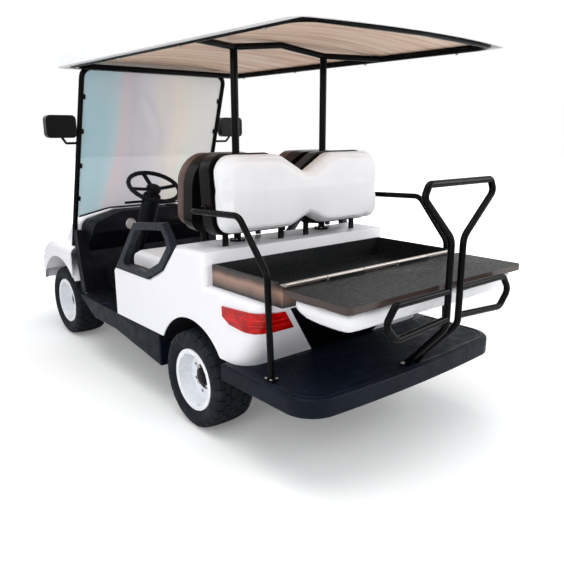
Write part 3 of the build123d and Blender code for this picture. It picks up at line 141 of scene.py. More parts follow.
def wired(tree: bpy.types.NodeTree, kind: str, values: dict[str, float | tuple] | None = None,
          feeds: dict[str | int, Socket] | None = None, operation: str = "") -> bpy.types.Node:
    """A new shader node with its constants set and its inputs fed.

    Args:
        tree: the tree it goes into.
        kind: the node's type.
        values: constants, by input.
        feeds: output sockets, by the input that each feeds.
        operation: what a maths node does.

    Returns:
        The node.
    """
    node = tree.nodes.new(kind)
    if operation:
        node.operation = operation
    for socket, value in (values or {}).items():
        node.inputs[socket].default_value = value
    for socket, source in (feeds or {}).items():
        tree.links.new(source, node.inputs[socket])
    return node


class Graph:
    """A material's shader nodes, with short calls for the few kinds in use."""

    def __init__(self, name: str) -> None:
        """Start a material with a plain shader.

        Args:
            name: the material's name.
        """
        self.material = bpy.data.materials.new(name)
        self.material.use_nodes = True
        self.tree = self.material.node_tree
        self.shader = self.tree.nodes["Principled BSDF"]
        self.place = wired(self.tree, "ShaderNodeTexCoord").outputs["Object"]

    def set(self, **values: float | tuple) -> None:
        """Set the shader's own sockets.

        Args:
            values: socket names with _ for spaces, and their values.
        """
        for name, value in values.items():
            self.shader.inputs[name.replace("_", " ")].default_value = value

    def shine(self, reflect: float, coat: float = 0.0, soft: float = 0.1) -> None:
        """Set how strongly the surface mirrors its surroundings.

        Args:
            reflect: the base's specular level, 0.5 for plain plastic.
            coat: weight of the clear coat.
            soft: roughness of the coat.
        """
        self.set(Specular_IOR_Level=reflect, Coat_Weight=coat, Coat_Roughness=soft)

    def noise(self, scale: float, detail: float = 3.0, stretch: Point = (1.0, 1.0, 1.0)) -> Socket:
        """A noise texture's value over the piece.

        Args:
            scale: features per metre.
            detail: octaves.
            stretch: scale on each axis.

        Returns:
            The noise's output socket.
        """
        place = wired(self.tree, "ShaderNodeMapping", {"Scale": stretch}, {"Vector": self.place})
        node = wired(self.tree, "ShaderNodeTexNoise", {"Scale": scale, "Detail": detail},
                     {"Vector": place.outputs["Vector"]})
        return node.outputs["Fac"]

    def cells(self, scale: float) -> Socket:
        """A cell texture's distance over the piece.

        Args:
            scale: cells per metre.

        Returns:
            The distance's output socket.
        """
        node = wired(self.tree, "ShaderNodeTexVoronoi", {"Scale": scale}, {"Vector": self.place})
        return node.outputs["Distance"]

    def along(self, axis: str) -> Socket:
        """One coordinate over the piece.

        Args:
            axis: X, Y or Z.

        Returns:
            The coordinate's output socket.
        """
        return wired(self.tree, "ShaderNodeSeparateXYZ", feeds={"Vector": self.place}).outputs[axis]

    def span(self, value: Socket, low: float, high: float, to_low: float = 0.0,
             to_high: float = 1.0) -> Socket:
        """Map a value's range onto another.

        Args:
            value: the socket to map.
            low: start of its range.
            high: end of its range.
            to_low: result at the start.
            to_high: result at the end.

        Returns:
            The mapped output socket.
        """
        ends = {"From Min": low, "From Max": high, "To Min": to_low, "To Max": to_high}
        return wired(self.tree, "ShaderNodeMapRange", ends, {"Value": value}).outputs["Result"]

    def wavy(self, value: Socket, pattern: Socket, reach: float) -> Socket:
        """A value with a noise laid over it.

        Args:
            value: the socket.
            pattern: the noise's socket.
            reach: how far the noise moves the value each way.

        Returns:
            The sum's output socket.
        """
        wave = self.span(pattern, NOISE_LOW, NOISE_HIGH, -reach, reach)
        return wired(self.tree, "ShaderNodeMath", feeds={0: value, 1: wave}, operation="ADD").outputs[0]

    def colours(self, value: Socket, stops: Stops) -> Socket:
        """Colour by value.

        Args:
            value: the socket that chooses the colour.
            stops: places from 0 to 1 and their colours.

        Returns:
            The colour's output socket.
        """
        node = wired(self.tree, "ShaderNodeValToRGB", feeds={"Fac": value})
        ramp = node.color_ramp
        while len(ramp.elements) < len(stops):
            ramp.elements.new(0.5)
        for element, (place, colour) in zip(ramp.elements, stops):
            element.position = place
            element.color = (*colour, 1.0)
        return node.outputs["Color"]

    def paint(self, colour: Socket) -> None:
        """Feed the base colour."""
        self.tree.links.new(colour, self.shader.inputs["Base Color"])

    def rough(self, pattern: Socket, low: float, high: float) -> None:
        """Feed the roughness from a noise.

        Args:
            pattern: the noise's socket.
            low: roughness where the noise is low.
            high: roughness where it is high.
        """
        value = self.span(pattern, NOISE_LOW, NOISE_HIGH, low, high)
        self.tree.links.new(value, self.shader.inputs["Roughness"])

    def bump(self, height: Socket, depth: float, strength: float) -> None:
        """Feed the normal from a height.

        Args:
            height: the socket that holds the height.
            depth: the height's full size in metres.
            strength: how far it turns the normal.
        """
        size = {"Strength": strength, "Distance": depth}
        node = wired(self.tree, "ShaderNodeBump", size, {"Height": height})
        self.tree.links.new(node.outputs["Normal"], self.shader.inputs["Normal"])


def shade(colour: Colour, by: float) -> Colour:
    """A colour made lighter or darker.

    Args:
        colour: the colour.
        by: the factor on each channel.

    Returns:
        The new colour, kept below 1.
    """
    return tuple(min(1.0, channel * by) for channel in colour)


@dataclass(frozen=True)
class Finish:
    """A finish: its material's name and the record's slot that it fills."""

    name: str
    slot: Slot

    def make(self) -> bpy.types.Material:
        """Build the material."""
        graph = Graph(self.name)
        self.lay(graph)
        return graph.material

    def lay(self, graph: Graph) -> None:
        """Wire the finish into the material's nodes.

        Args:
            graph: the material's nodes.
        """
        raise NotImplementedError


@dataclass(frozen=True)
class GlossMoulding(Finish):
    """Smooth coloured plastic with a soft shine and a trace of dust."""

    colour: Colour
    roughness: float = 0.22
    coat: float = 0.4
    reflect: float = 0.5
    dust: float = 0.955
    wear: float = 0.03

    def lay(self, graph: Graph) -> None:
        """Wire a dusty colour under a soft coat.

        Args:
            graph: the material's nodes.
        """
        graph.shine(self.reflect, self.coat, soft=0.2)
        patch = graph.noise(scale=2.6, detail=4.0)
        graph.paint(graph.colours(patch, ((0.3, shade(self.colour, self.dust)), (0.7, self.colour))))
        graph.rough(graph.noise(scale=14.0), self.roughness, self.roughness + self.wear)
        graph.bump(graph.noise(scale=160.0, detail=2.0), depth=0.0002, strength=0.03)


@dataclass(frozen=True)
class Vinyl(Finish):
    """Seat vinyl with a pebbled grain and painted shade: broad random patches, slightly greyer, stand in for
    the shade in its folds.
    """

    colour: Colour
    grain: float = 420.0
    # grey: factor on the colour in the painted fold shade
    grey: float = 0.93

    def lay(self, graph: Graph) -> None:
        """Wire painted fold shade, as random greyer patches, over a cell-grained cloth.

        Args:
            graph: the material's nodes.
        """
        graph.set(Sheen_Weight=0.08, Sheen_Roughness=0.5)
        graph.shine(reflect=0.4, coat=0.05, soft=0.35)
        patch = graph.noise(scale=5.0, detail=4.0)
        # painted shade: the greyer stop stands in for shade in the folds
        graph.paint(graph.colours(patch, ((0.28, shade(self.colour, self.grey)), (0.62, self.colour))))
        graph.rough(graph.noise(scale=38.0, detail=2.0), 0.4, 0.55)
        graph.bump(graph.cells(self.grain), depth=0.0009, strength=0.35)


@dataclass(frozen=True)
class GrainedMoulding(Finish):
    """Dark moulded plastic with a fine spark-eroded grain and scuffed high spots."""

    colour: Colour
    scuff: Colour
    grain: float = 700.0
    roughness: float = 0.5
    deep: float = 0.75

    def lay(self, graph: Graph) -> None:
        """Wire a dark colour that scuffs pale on its high spots.

        Args:
            graph: the material's nodes.
        """
        graph.shine(reflect=0.09)
        patch = graph.noise(scale=7.0, detail=6.0)
        stops = ((0.32, shade(self.colour, self.deep)), (0.6, self.colour), (0.86, self.scuff))
        graph.paint(graph.colours(patch, stops))
        graph.rough(graph.noise(scale=22.0), self.roughness - 0.1, self.roughness + 0.12)
        graph.bump(graph.noise(self.grain, detail=2.0), depth=0.0007, strength=0.35)


@dataclass(frozen=True)
class SpeckledBoard(Finish):
    """Glossy bed surface with fine pale speckle over a dark ground."""

    ground: Colour
    speckle: Colour
    warm: Colour
    warm_ground: float = 1.4

    def lay(self, graph: Graph) -> None:
        """Wire a cool and a warm speckle, mixed in broad patches.

        Args:
            graph: the material's nodes.
        """
        graph.shine(reflect=0.04)
        mix = graph.tree.nodes.new("ShaderNodeMix")
        mix.data_type = "RGBA"
        factor, cool, warm = mix.inputs["Factor"], mix.inputs[6], mix.inputs[7]
        graph.tree.links.new(graph.span(graph.noise(scale=3.2), 0.42, 0.68), factor)
        fine = graph.noise(scale=520.0, detail=4.0)
        graph.tree.links.new(graph.colours(fine, ((0.42, self.ground), (0.72, self.speckle))), cool)
        earth = shade(self.ground, self.warm_ground)
        graph.tree.links.new(graph.colours(fine, ((0.42, earth), (0.72, self.warm))), warm)
        graph.paint(mix.outputs[2])
        graph.rough(graph.noise(scale=60.0), 0.24, 0.42)
        graph.bump(graph.noise(scale=480.0), depth=0.0006, strength=0.3)


@dataclass(frozen=True)
class Enamel(Finish):
    """Paint on steel: a shiny coat with small ripples."""

    colour: Colour
    roughness: float = 0.25
    coat: float = 0.7
    reflect: float = 0.5
    deep: float = 0.85

    def lay(self, graph: Graph) -> None:
        """Wire a rippled paint under a clear coat.

        Args:
            graph: the material's nodes.
        """
        graph.shine(self.reflect, self.coat, soft=0.08)
        patch = graph.noise(scale=9.0, detail=5.0)
        graph.paint(graph.colours(patch, ((0.3, shade(self.colour, self.deep)), (0.65, self.colour))))
        graph.rough(graph.noise(scale=30.0, detail=2.0), self.roughness - 0.06, self.roughness + 0.1)
        graph.bump(graph.noise(scale=220.0, detail=2.0), depth=0.0003, strength=0.15)


@dataclass(frozen=True)
class Rubber(Finish):
    """Tyre rubber, greyer where it has picked up dust."""

    colour: Colour
    dust: Colour
    worn: float = 1.35

    def lay(self, graph: Graph) -> None:
        """Wire dust over worn rubber.

        Args:
            graph: the material's nodes.
        """
        graph.shine(reflect=0.12)
        stops = ((0.35, self.colour), (0.6, shade(self.colour, self.worn)), (0.85, self.dust))
        graph.paint(graph.colours(graph.noise(scale=16.0, detail=7.0), stops))
        graph.rough(graph.noise(scale=40.0), 0.55, 0.82)
        graph.bump(graph.noise(scale=900.0), depth=0.0008, strength=0.4)


@dataclass(frozen=True)
class BareMetal(Finish):
    """Bright or cast metal with a drawn grain."""

    colour: Colour
    roughness: float
    drawn: Point = (1.0, 1.0, 1.0)
    metallic: float = 1.0
    deep: float = 0.8

    def lay(self, graph: Graph) -> None:
        """Wire one drawn grain into colour, roughness and height.

        Args:
            graph: the material's nodes.
        """
        graph.set(Metallic=self.metallic)
        grain = graph.noise(scale=90.0, detail=4.0, stretch=self.drawn)
        graph.paint(graph.colours(grain, ((0.3, shade(self.colour, self.deep)), (0.7, self.colour))))
        graph.rough(grain, self.roughness - 0.08, self.roughness + 0.12)
        graph.bump(grain, depth=0.0003, strength=0.25)


@dataclass(frozen=True)
class TintedSheet(Finish):
    """Clear plastic glazing with painted reflections: faint coloured bands across it stand in for what the
    sheet reflects.
    """

    bands: Stops
    half: float
    alpha: float = 0.62

    def lay(self, graph: Graph) -> None:
        """Wire the painted reflection bands across the sheet's width, a little wavy.

        Args:
            graph: the material's nodes.
        """
        graph.set(Alpha=self.alpha, Coat_Weight=0.5, Coat_Roughness=0.03, IOR=1.49)
        across = graph.span(graph.along("X"), self.half, -self.half)
        across = graph.wavy(across, graph.noise(scale=3.0, detail=2.0, stretch=(1.0, 1.0, 0.35)), 0.12)
        # painted reflection: the bands' colours stand in for what the clear sheet reflects
        graph.paint(graph.colours(across, self.bands))
        graph.rough(graph.noise(scale=8.0), 0.05, 0.16)


@dataclass(frozen=True)
class Lens(Finish):
    """A moulded lamp lens with fine vertical optics."""

    colour: Colour
    deep: Colour
    optics: float = 90.0
    # glow: emission strength; on the ridge finish it is part of a painted highlight
    glow: float = 0.0

    def lay(self, graph: Graph) -> None:
        """Wire a deep and a pale tint over fine upright ribs.

        Args:
            graph: the material's nodes.
        """
        graph.shine(reflect=0.2, coat=0.12, soft=0.06)
        graph.set(Emission_Color=(*self.colour, 1.0), Emission_Strength=self.glow)
        graph.paint(graph.colours(graph.noise(scale=26.0), ((0.35, self.deep), (0.62, self.colour))))
        graph.rough(graph.noise(scale=70.0, detail=2.0), 0.08, 0.2)
        ribs = graph.noise(self.optics, detail=1.0, stretch=(1.0, 1.0, 0.15))
        graph.bump(ribs, depth=0.001, strength=0.35)


@dataclass(frozen=True)
class FadedPanel(Finish):
    """Glossy brown plastic with painted light: its colour runs through bands from its foot to its top,
    darker at the foot and under the top as painted shade and lighter between as a painted highlight.
    """

    low: float
    high: float
    stops: Stops

    def lay(self, graph: Graph) -> None:
        """Wire the painted shade and highlight bands up the panel's height, a little wavy.

        Args:
            graph: the material's nodes.
        """
        graph.shine(reflect=0.35, coat=0.25, soft=0.15)
        height = graph.span(graph.along("Z"), self.low, self.high)
        height = graph.wavy(height, graph.noise(scale=7.0, stretch=(1.0, 1.0, 0.3)), 0.05)
        # painted shade at both ends of the height, painted highlight in the middle stops
        graph.paint(graph.colours(height, self.stops))
        graph.rough(graph.noise(scale=40.0, detail=2.0), 0.25, 0.4)


@dataclass(frozen=True)
class RoofLining(Finish):
    """The roof's warm grey underside with long pale streaks."""

    stops: Stops

    def lay(self, graph: Graph) -> None:
        """Wire streaks that run the roof's length.

        Args:
            graph: the material's nodes.
        """
        streaks = graph.noise(scale=9.0, detail=5.0, stretch=(0.18, 3.4, 1.0))
        graph.paint(graph.colours(streaks, self.stops))
        graph.rough(graph.noise(scale=24.0, detail=2.0), 0.45, 0.65)
        graph.bump(graph.noise(scale=60.0, stretch=(0.2, 2.0, 1.0)), depth=0.0015, strength=0.3)


class Look(Enum):
    """Every finish on the cart."""

    BODY = GlossMoulding("body_gloss_white", Slot.BODY, (0.905, 0.9, 0.94), 0.3, 0.08, 0.35)
    ROOF = GlossMoulding("roof_satin_white", Slot.ROOF, (0.94, 0.945, 0.95), 0.34, 0.15)
    SEAT = Vinyl("seat_vinyl_white", Slot.SEAT, (0.93, 0.93, 0.955))
    BOXING = Vinyl("seat_vinyl_dark", Slot.SEAT, (0.085, 0.04, 0.032), 360.0)
    MOULDING = GrainedMoulding(
        "moulding_black", Slot.MOULDING, (0.004, 0.0045, 0.007), (0.012, 0.014, 0.02))
    STEP = GrainedMoulding(
        "step_blue_black", Slot.MOULDING, (0.0035, 0.006, 0.013), (0.01, 0.016, 0.028), 500.0, 0.42)
    RESTRAINT = GrainedMoulding(
        "restraint_dark_grey", Slot.MOULDING, (0.024, 0.027, 0.037), (0.085, 0.075, 0.072), 600.0, 0.34)
    SHELL = GlossMoulding("shell_gloss_black", Slot.GLOSS, (0.004, 0.0035, 0.0035), 0.28, 0.03, 0.08)
    BED = SpeckledBoard(
        "bed_speckled_dark", Slot.GLOSS, (0.005, 0.006, 0.007), (0.022, 0.024, 0.025), (0.036, 0.032, 0.03))
    BED_EDGE = GlossMoulding("bed_edge_brown", Slot.GLOSS, (0.05, 0.03, 0.027), 0.3, 0.15, 0.35)
    # the tray side's brown, with painted shade at its foot and top and a painted highlight band between
    TRAY_SIDE = FadedPanel("tray_side_brown", Slot.GLOSS, 0.685, 0.78, (
        (0.05, (0.03, 0.026, 0.026)), (0.3, (0.2, 0.12, 0.09)), (0.55, (0.34, 0.2, 0.15)),
        (0.78, (0.06, 0.035, 0.03)), (0.95, (0.012, 0.011, 0.012))))
    TUBE = Enamel("tube_black_enamel", Slot.TUBE, (0.0025, 0.0025, 0.003), 0.2, 0.02, 0.06)
    FRAME = Enamel("frame_satin_black", Slot.FRAME, (0.012, 0.012, 0.013), 0.42, 0.0, 0.15)
    CAST = BareMetal("cast_dark_steel", Slot.CAST, (0.08, 0.08, 0.085), 0.6, metallic=0.6)
    BATTERY = GrainedMoulding("battery_case", Slot.BATTERY, (0.04, 0.04, 0.045), (0.08, 0.08, 0.085))
    RUBBER = Rubber("tyre_rubber_dusty", Slot.TYRE, (0.008, 0.009, 0.013), (0.035, 0.036, 0.042))
    RIM = Enamel("rim_white_enamel", Slot.RIM, (0.93, 0.95, 0.99), 0.25, 0.3)
    BRIGHT = BareMetal("bright_brushed", Slot.BRIGHT, (0.62, 0.6, 0.58), 0.35, (0.2, 6.0, 6.0))
    HINGE = BareMetal("hinge_brushed", Slot.BRIGHT, (0.5, 0.46, 0.43), 0.4, (0.2, 6.0, 6.0), 0.7)
    # painted reflections: the windscreen's coloured bands stand in for what a clear sheet reflects
    GLASS = TintedSheet("windshield_clear", Slot.CLEAR, (
        (0.03, (0.34, 0.6, 0.68)), (0.16, (0.45, 0.63, 0.7)), (0.28, (0.68, 0.57, 0.61)),
        (0.4, (0.6, 0.57, 0.64)), (0.56, (0.68, 0.66, 0.71)), (0.68, (0.84, 0.75, 0.66)),
        (0.8, (0.77, 0.78, 0.71)), (0.93, (0.76, 0.75, 0.73))), half=0.42)
    RED = Lens("lamp_red_lens", Slot.RED, (0.55, 0.003, 0.003), (0.26, 0.002, 0.002), glow=0.05)
    # painted highlight: the ridges' paler red and stronger glow stand in for light caught on the tail lamps'
    # ridges
    RED_PALE = Lens("lamp_ridge_pale", Slot.RED, (0.72, 0.022, 0.016), (0.5, 0.012, 0.01), glow=0.1)
    CLEAR = Lens("lamp_clear_lens", Slot.LAMP, (0.7, 0.74, 0.79), (0.62, 0.66, 0.71))
    LINING = RoofLining("roof_lining_warm", Slot.ROOF, (
        (0.3, (0.62, 0.38, 0.26)), (0.45, (0.82, 0.55, 0.4)), (0.58, (0.9, 0.68, 0.52)),
        (0.75, (0.93, 0.8, 0.68))))
    MIRROR = BareMetal("mirror_face", Slot.BRIGHT, (0.8, 0.82, 0.85), 0.1)


# ---- mesh work ---------------------------------------------------------------------------


@dataclass
class Workshop:
    """The loaded frame, the finishes, and the calls that add a piece to it."""

    frame: dict
    count: int = 0
    weld: float = 2e-5
    flat: float = 0.6
    soft_edge: float = 38.0
    _made: dict[Look, bpy.types.Material] = field(default_factory=dict)
    _bodies: dict[str, str] = field(default_factory=dict)

    def __post_init__(self) -> None:
        """Note which body each CAD node rides on."""
        for body, nodes in self.frame["record"]["behaviour"]["bodies"].items():
            self._bodies.update({node: body for node in nodes})

    def finish(self, look: Look) -> bpy.types.Material:
        """A finish's material, made once."""
        if look not in self._made:
            self._made[look] = look.value.make()
        return self._made[look]

    def dress(self, look: Look, *nodes: str) -> None:
        """Give CAD nodes a finish.

        Args:
            look: the finish.
            nodes: the nodes' names.
        """
        for node in nodes:
            for slot in self.frame["nodes"][node].material_slots:
                slot.material = self.finish(look)

    def tone(self, data: bpy.types.Mesh, looks: Sequence[Look],
             choose: Callable[[bpy.types.MeshPolygon], int]) -> None:
        """Give a mesh's faces one of several finishes.

        Args:
            data: the mesh.
            looks: the finishes.
            choose: gives a face's place in looks.
        """
        data.materials.clear()
        for look in looks:
            data.materials.append(self.finish(look))
        for face in data.polygons:
            face.material_index = choose(face)

    def mesh(self, name: str, points: Iterable, faces: Iterable, smooth: float = 40.0) -> bpy.types.Object:
        """A mesh object from points and faces.

        Args:
            name: the piece's name.
            points: its vertices.
            faces: its faces as indices.
            smooth: edges sharper than this, in degrees, stay sharp.

        Returns:
            The new object.
        """
        data = bpy.data.meshes.new(name)
        data.from_pydata([tuple(p) for p in points], [], [tuple(f) for f in faces])
        data.validate()
        tidy = bmesh.new()
        tidy.from_mesh(data)
        bmesh.ops.recalc_face_normals(tidy, faces=tidy.faces)
        tidy.to_mesh(data)
        tidy.free()
        return self.hang(name, data, smooth)

    def hang(self, name: str, data: bpy.types.Mesh, smooth: float = 40.0) -> bpy.types.Object:
        """Put a mesh in the scene as an object.

        Args:
            name: the piece's name.
            data: its mesh.
            smooth: edges sharper than this, in degrees, stay sharp.

        Returns:
            The new object.
        """
        data.shade_smooth()
        data.set_sharp_from_angle(angle=math.radians(smooth))
        piece = bpy.data.objects.new(name, data)
        bpy.context.scene.collection.objects.link(piece)
        return piece

    def place(self, piece: bpy.types.Object, body: str, look: Look, *instead: str) -> bpy.types.Object:
        """Finish a piece and hang it on its body.

        Args:
            piece: the object.
            body: the body it rides on.
            look: its finish, which also names the record's slot.
            instead: CAD nodes that it stands for.

        Returns:
            The piece.
        """
        if not piece.data.materials:
            piece.data.materials.append(self.finish(look))
        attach(piece, body)
        if instead:
            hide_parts(*instead)
        self.count += 1
        LOG.info("%s on %s", piece.name, body)
        return piece

    def add(self, name: str, look: Look, *parts: Shape, body: str = CHASSIS) -> bpy.types.Object:
        """Make a piece out of shapes and hang it on its body.

        Args:
            name: the piece's name.
            look: its finish.
            parts: its shapes.
            body: the body it rides on.

        Returns:
            The piece.
        """
        return self.place(self.mesh(name, *joined(parts)), body, look)

    def copy_of(self, node: str) -> bmesh.types.BMesh:
        """A node's mesh as an editable copy with joined corners and whole flat faces.

        Args:
            node: the CAD node.

        Returns:
            The copy.
        """
        copy = bmesh.new()
        copy.from_mesh(self.frame["nodes"][node].data)
        bmesh.ops.remove_doubles(copy, verts=copy.verts, dist=self.weld)
        flat = math.radians(self.flat)
        bmesh.ops.dissolve_limit(copy, angle_limit=flat, verts=copy.verts, edges=copy.edges)
        return copy

    def applied(self, piece: bpy.types.Object) -> bpy.types.Mesh:
        """A piece's mesh with its modifiers applied."""
        graph = bpy.context.evaluated_depsgraph_get()
        return bpy.data.meshes.new_from_object(piece.evaluated_get(graph))

    def soften(self, node: str, width: float, look: Look, segments: int = 3) -> bpy.types.Object:
        """Replace a node by the same shape with rounded edges.

        Args:
            node: the CAD node.
            width: the rounding's size.
            look: the finish.
            segments: steps in each rounding.

        Returns:
            The new piece.
        """
        copy = self.copy_of(node)
        data = bpy.data.meshes.new(node + "_rounded")
        copy.to_mesh(data)
        copy.free()
        piece = self.hang(node + "_rounded", data, smooth=35.0)
        edge = piece.modifiers.new("edge", "BEVEL")
        edge.width = width
        edge.segments = segments
        edge.limit_method = "ANGLE"
        edge.angle_limit = math.radians(self.soft_edge)
        edge.harden_normals = True
        rounded = self.applied(piece)
        piece.modifiers.clear()
        piece.data = rounded
        return self.place(piece, self._bodies[node], look, node)


@dataclass
class Assembly:
    """One of the cart's assemblies, built in the workshop."""

    shop: Workshop

    def build(self) -> None:
        """Build the assembly."""
        raise NotImplementedError


def loops(rows: int, width: int, closed: bool) -> list[tuple[int, ...]]:
    """Four-cornered faces between rows of points, where each row runs round in a loop.

    Args:
        rows: how many rows.
        width: points in a row.
        closed: whether the last row joins the first.

    Returns:
        The faces.
    """
    faces = []
    for row in range(rows if closed else rows - 1):
        ahead = (row + 1) % rows
        for spot in range(width):
            beside = (spot + 1) % width
            here, there = row * width, ahead * width
            faces.append((here + spot, here + beside, there + beside, there + spot))
    return faces


def tube(points: Sequence[Vector], radius: float, closed: bool = False, sides: int = 10,
         flat: float = 1.0) -> Shape:
    """A round tube along points.

    Args:
        points: the tube's middle line.
        radius: its radius.
        closed: whether the ends join.
        sides: faces around it.
        flat: factor on the radius along Z.

    Returns:
        Its vertices and faces.
    """
    count = len(points)
    verts: list[Vector] = []
    before = None
    for index, point in enumerate(points):
        ahead = points[(index + 1) % count] if closed or index + 1 < count else point
        behind = points[index - 1] if closed or index else point
        along = (ahead - behind).normalized()
        if before is None:
            before = along.orthogonal().normalized()
        across = (before - along * before.dot(along)).normalized()
        before = across
        other = along.cross(across)
        for side in range(sides):
            angle = 2 * math.pi * side / sides
            step = (across * math.cos(angle) + other * math.sin(angle)) * radius
            step.z *= flat
            verts.append(point + step)
    faces = loops(count, sides, closed)
    if not closed:
        faces.append(tuple(reversed(range(sides))))
        faces.append(tuple(range((count - 1) * sides, count * sides)))
    return verts, faces


def lathe(profile: Outline, steps: int = 48) -> Shape:
    """Turn (along, radius) points about the X axis.

    Args:
        profile: the outline, from one end to the other.
        steps: faces around it.

    Returns:
        Vertices and faces.
    """
    verts = []
    for along, radius in profile:
        for step in range(steps):
            angle = 2 * math.pi * step / steps
            verts.append(Vector((along, radius * math.cos(angle), radius * math.sin(angle))))
    faces = loops(len(profile), steps, closed=False)
    faces.append(tuple(range(steps)))
    faces.append(tuple(reversed(range((len(profile) - 1) * steps, len(profile) * steps))))
    return verts, faces


def joined(parts: Iterable[Shape]) -> Shape:
    """Several shapes as one.

    Args:
        parts: the shapes.

    Returns:
        All their vertices and faces.
    """
    verts: list[Vector] = []
    faces: list[tuple[int, ...]] = []
    for more, more_faces in parts:
        faces += [tuple(index + len(verts) for index in face) for face in more_faces]
        verts += more
    return verts, faces


def moved(shape: Shape, matrix: Matrix) -> Shape:
    """A shape moved by a matrix."""
    return [matrix @ vert for vert in shape[0]], shape[1]


def turned(place: Point, degrees: float, axis: str) -> Matrix:
    """The matrix that turns a shape about an axis and then moves its origin to a place."""
    return Matrix.Translation(place) @ Matrix.Rotation(math.radians(degrees), 4, axis)


def bolt(place: Point, axis: Vector, size: float) -> Shape:
    """A hexagon bolt head on its washer.

    Args:
        place: where the washer's underside is.
        axis: the way the head points.
        size: the head's half width, which the other sizes follow.

    Returns:
        Vertices and faces.
    """
    washer = ((0.0, 1.05), (0.0, 1.4), (0.16, 1.45), (0.26, 1.3))
    head = ((0.2, 0.98), (0.85, 1.0), (1.0, 0.84))
    sized = [tuple((size * along, size * radius) for along, radius in outline) for outline in (washer, head)]
    turn = Vector((1, 0, 0)).rotation_difference(axis).to_matrix().to_4x4()
    return moved(joined([lathe(sized[0], 18), lathe(sized[1], 6)]), Matrix.Translation(place) @ turn)


def rounded_bar(low: Point, high: Point, edge: float, steps: int = 2) -> Shape:
    """A box with rounded edges.

    Args:
        low: its lowest corner.
        high: its highest corner.
        edge: the rounding, kept under half of the box's smallest size.
        steps: steps in each rounding.

    Returns:
        Vertices and faces.
    """
    copy = bmesh.new()
    bmesh.ops.create_cube(copy, size=1.0)
    size = Vector(high) - Vector(low)
    middle = (Vector(high) + Vector(low)) / 2
    for vert in copy.verts:
        vert.co = Vector(a * b for a, b in zip(vert.co, size)) + middle
    width = min(edge, min(size) * 0.49)
    bmesh.ops.bevel(copy, geom=copy.edges[:], offset=width, segments=steps, profile=0.5, affect="EDGES")
    copy.verts.index_update()
    verts = [vert.co.copy() for vert in copy.verts]
    faces = [tuple(vert.index for vert in face.verts) for face in copy.faces]
    copy.free()
    return verts, faces


def arc(middle: Point, radius: float, start: float, end: float, steps: int,
        plane: Plane = Plane.XY) -> list[Vector]:
    """Points along an arc.

    Args:
        middle: its centre.
        radius: its radius.
        start: first angle in degrees.
        end: last angle in degrees.
        steps: number of runs.
        plane: the plane it lies in.

    Returns:
        The points.
    """
    first, second = plane.value
    found = []
    for step in range(steps + 1):
        angle = math.radians(start + (end - start) * step / steps)
        offset = Vector((0.0, 0.0, 0.0))
        offset[first], offset[second] = radius * math.cos(angle), radius * math.sin(angle)
        found.append(Vector(middle) + offset)
    return found


def circle(middle: Point, radius: float, steps: int) -> list[Vector]:
    """Points round a level circle."""
    return arc(middle, radius, 0, 360, steps)[:-1]


def bolt_circle(radius: float) -> list[tuple[float, float]]:
    """Four places on a circle round the origin, at its diagonals."""
    angles = [math.radians(45 + 90 * turn) for turn in range(4)]
    return [(radius * math.cos(angle), radius * math.sin(angle)) for angle in angles]


def slice_loops(data: bpy.types.Mesh, place: Vector, normal: Vector) -> list[list[Vector]]:
    """The closed outlines where a plane cuts a mesh.

    Args:
        data: the mesh.
        place: a point on the plane.
        normal: the plane's normal.

    Returns:
        Each outline's points in order, without scraps of a few points.
    """
    scrap = 8
    cut = bmesh.new()
    cut.from_mesh(data)
    geometry = cut.verts[:] + cut.edges[:] + cut.faces[:]
    bmesh.ops.bisect_plane(cut, geom=geometry, plane_co=place, plane_no=normal,
                           clear_inner=True, clear_outer=True)
    outlines = []
    todo = dict.fromkeys(cut.verts)
    while todo:
        here = todo.popitem()[0]
        line = [here]
        while True:
            ahead = [e.other_vert(here) for e in here.link_edges if e.other_vert(here) in todo]
            if not ahead:
                break
            here = ahead[0]
            del todo[here]
            line.append(here)
        if len(line) > scrap:
            outlines.append([vert.co.copy() for vert in line])
    cut.free()
    return outlines


def even(points: Sequence[Vector], count: int) -> list[Vector]:
    """A closed outline as evenly spaced points.

    Args:
        points: the outline.
        count: how many points to give.

    Returns:
        The new points.
    """
    closed = [*points, points[0]]
    lengths = [0.0]
    for first, second in zip(closed, closed[1:]):
        lengths.append(lengths[-1] + (second - first).length)
    found, index = [], 0
    for step in range(count):
        want = lengths[-1] * step / count
        while lengths[index + 1] < want:
            index += 1
        share = (want - lengths[index]) / max(lengths[index + 1] - lengths[index], 1e-9)
        found.append(closed[index].lerp(closed[index + 1], share))
    return [(found[i - 1] + found[i] * 2 + found[(i + 1) % count]) / 4 for i in range(count)]


# ---- wheels ------------------------------------------------------------------------------


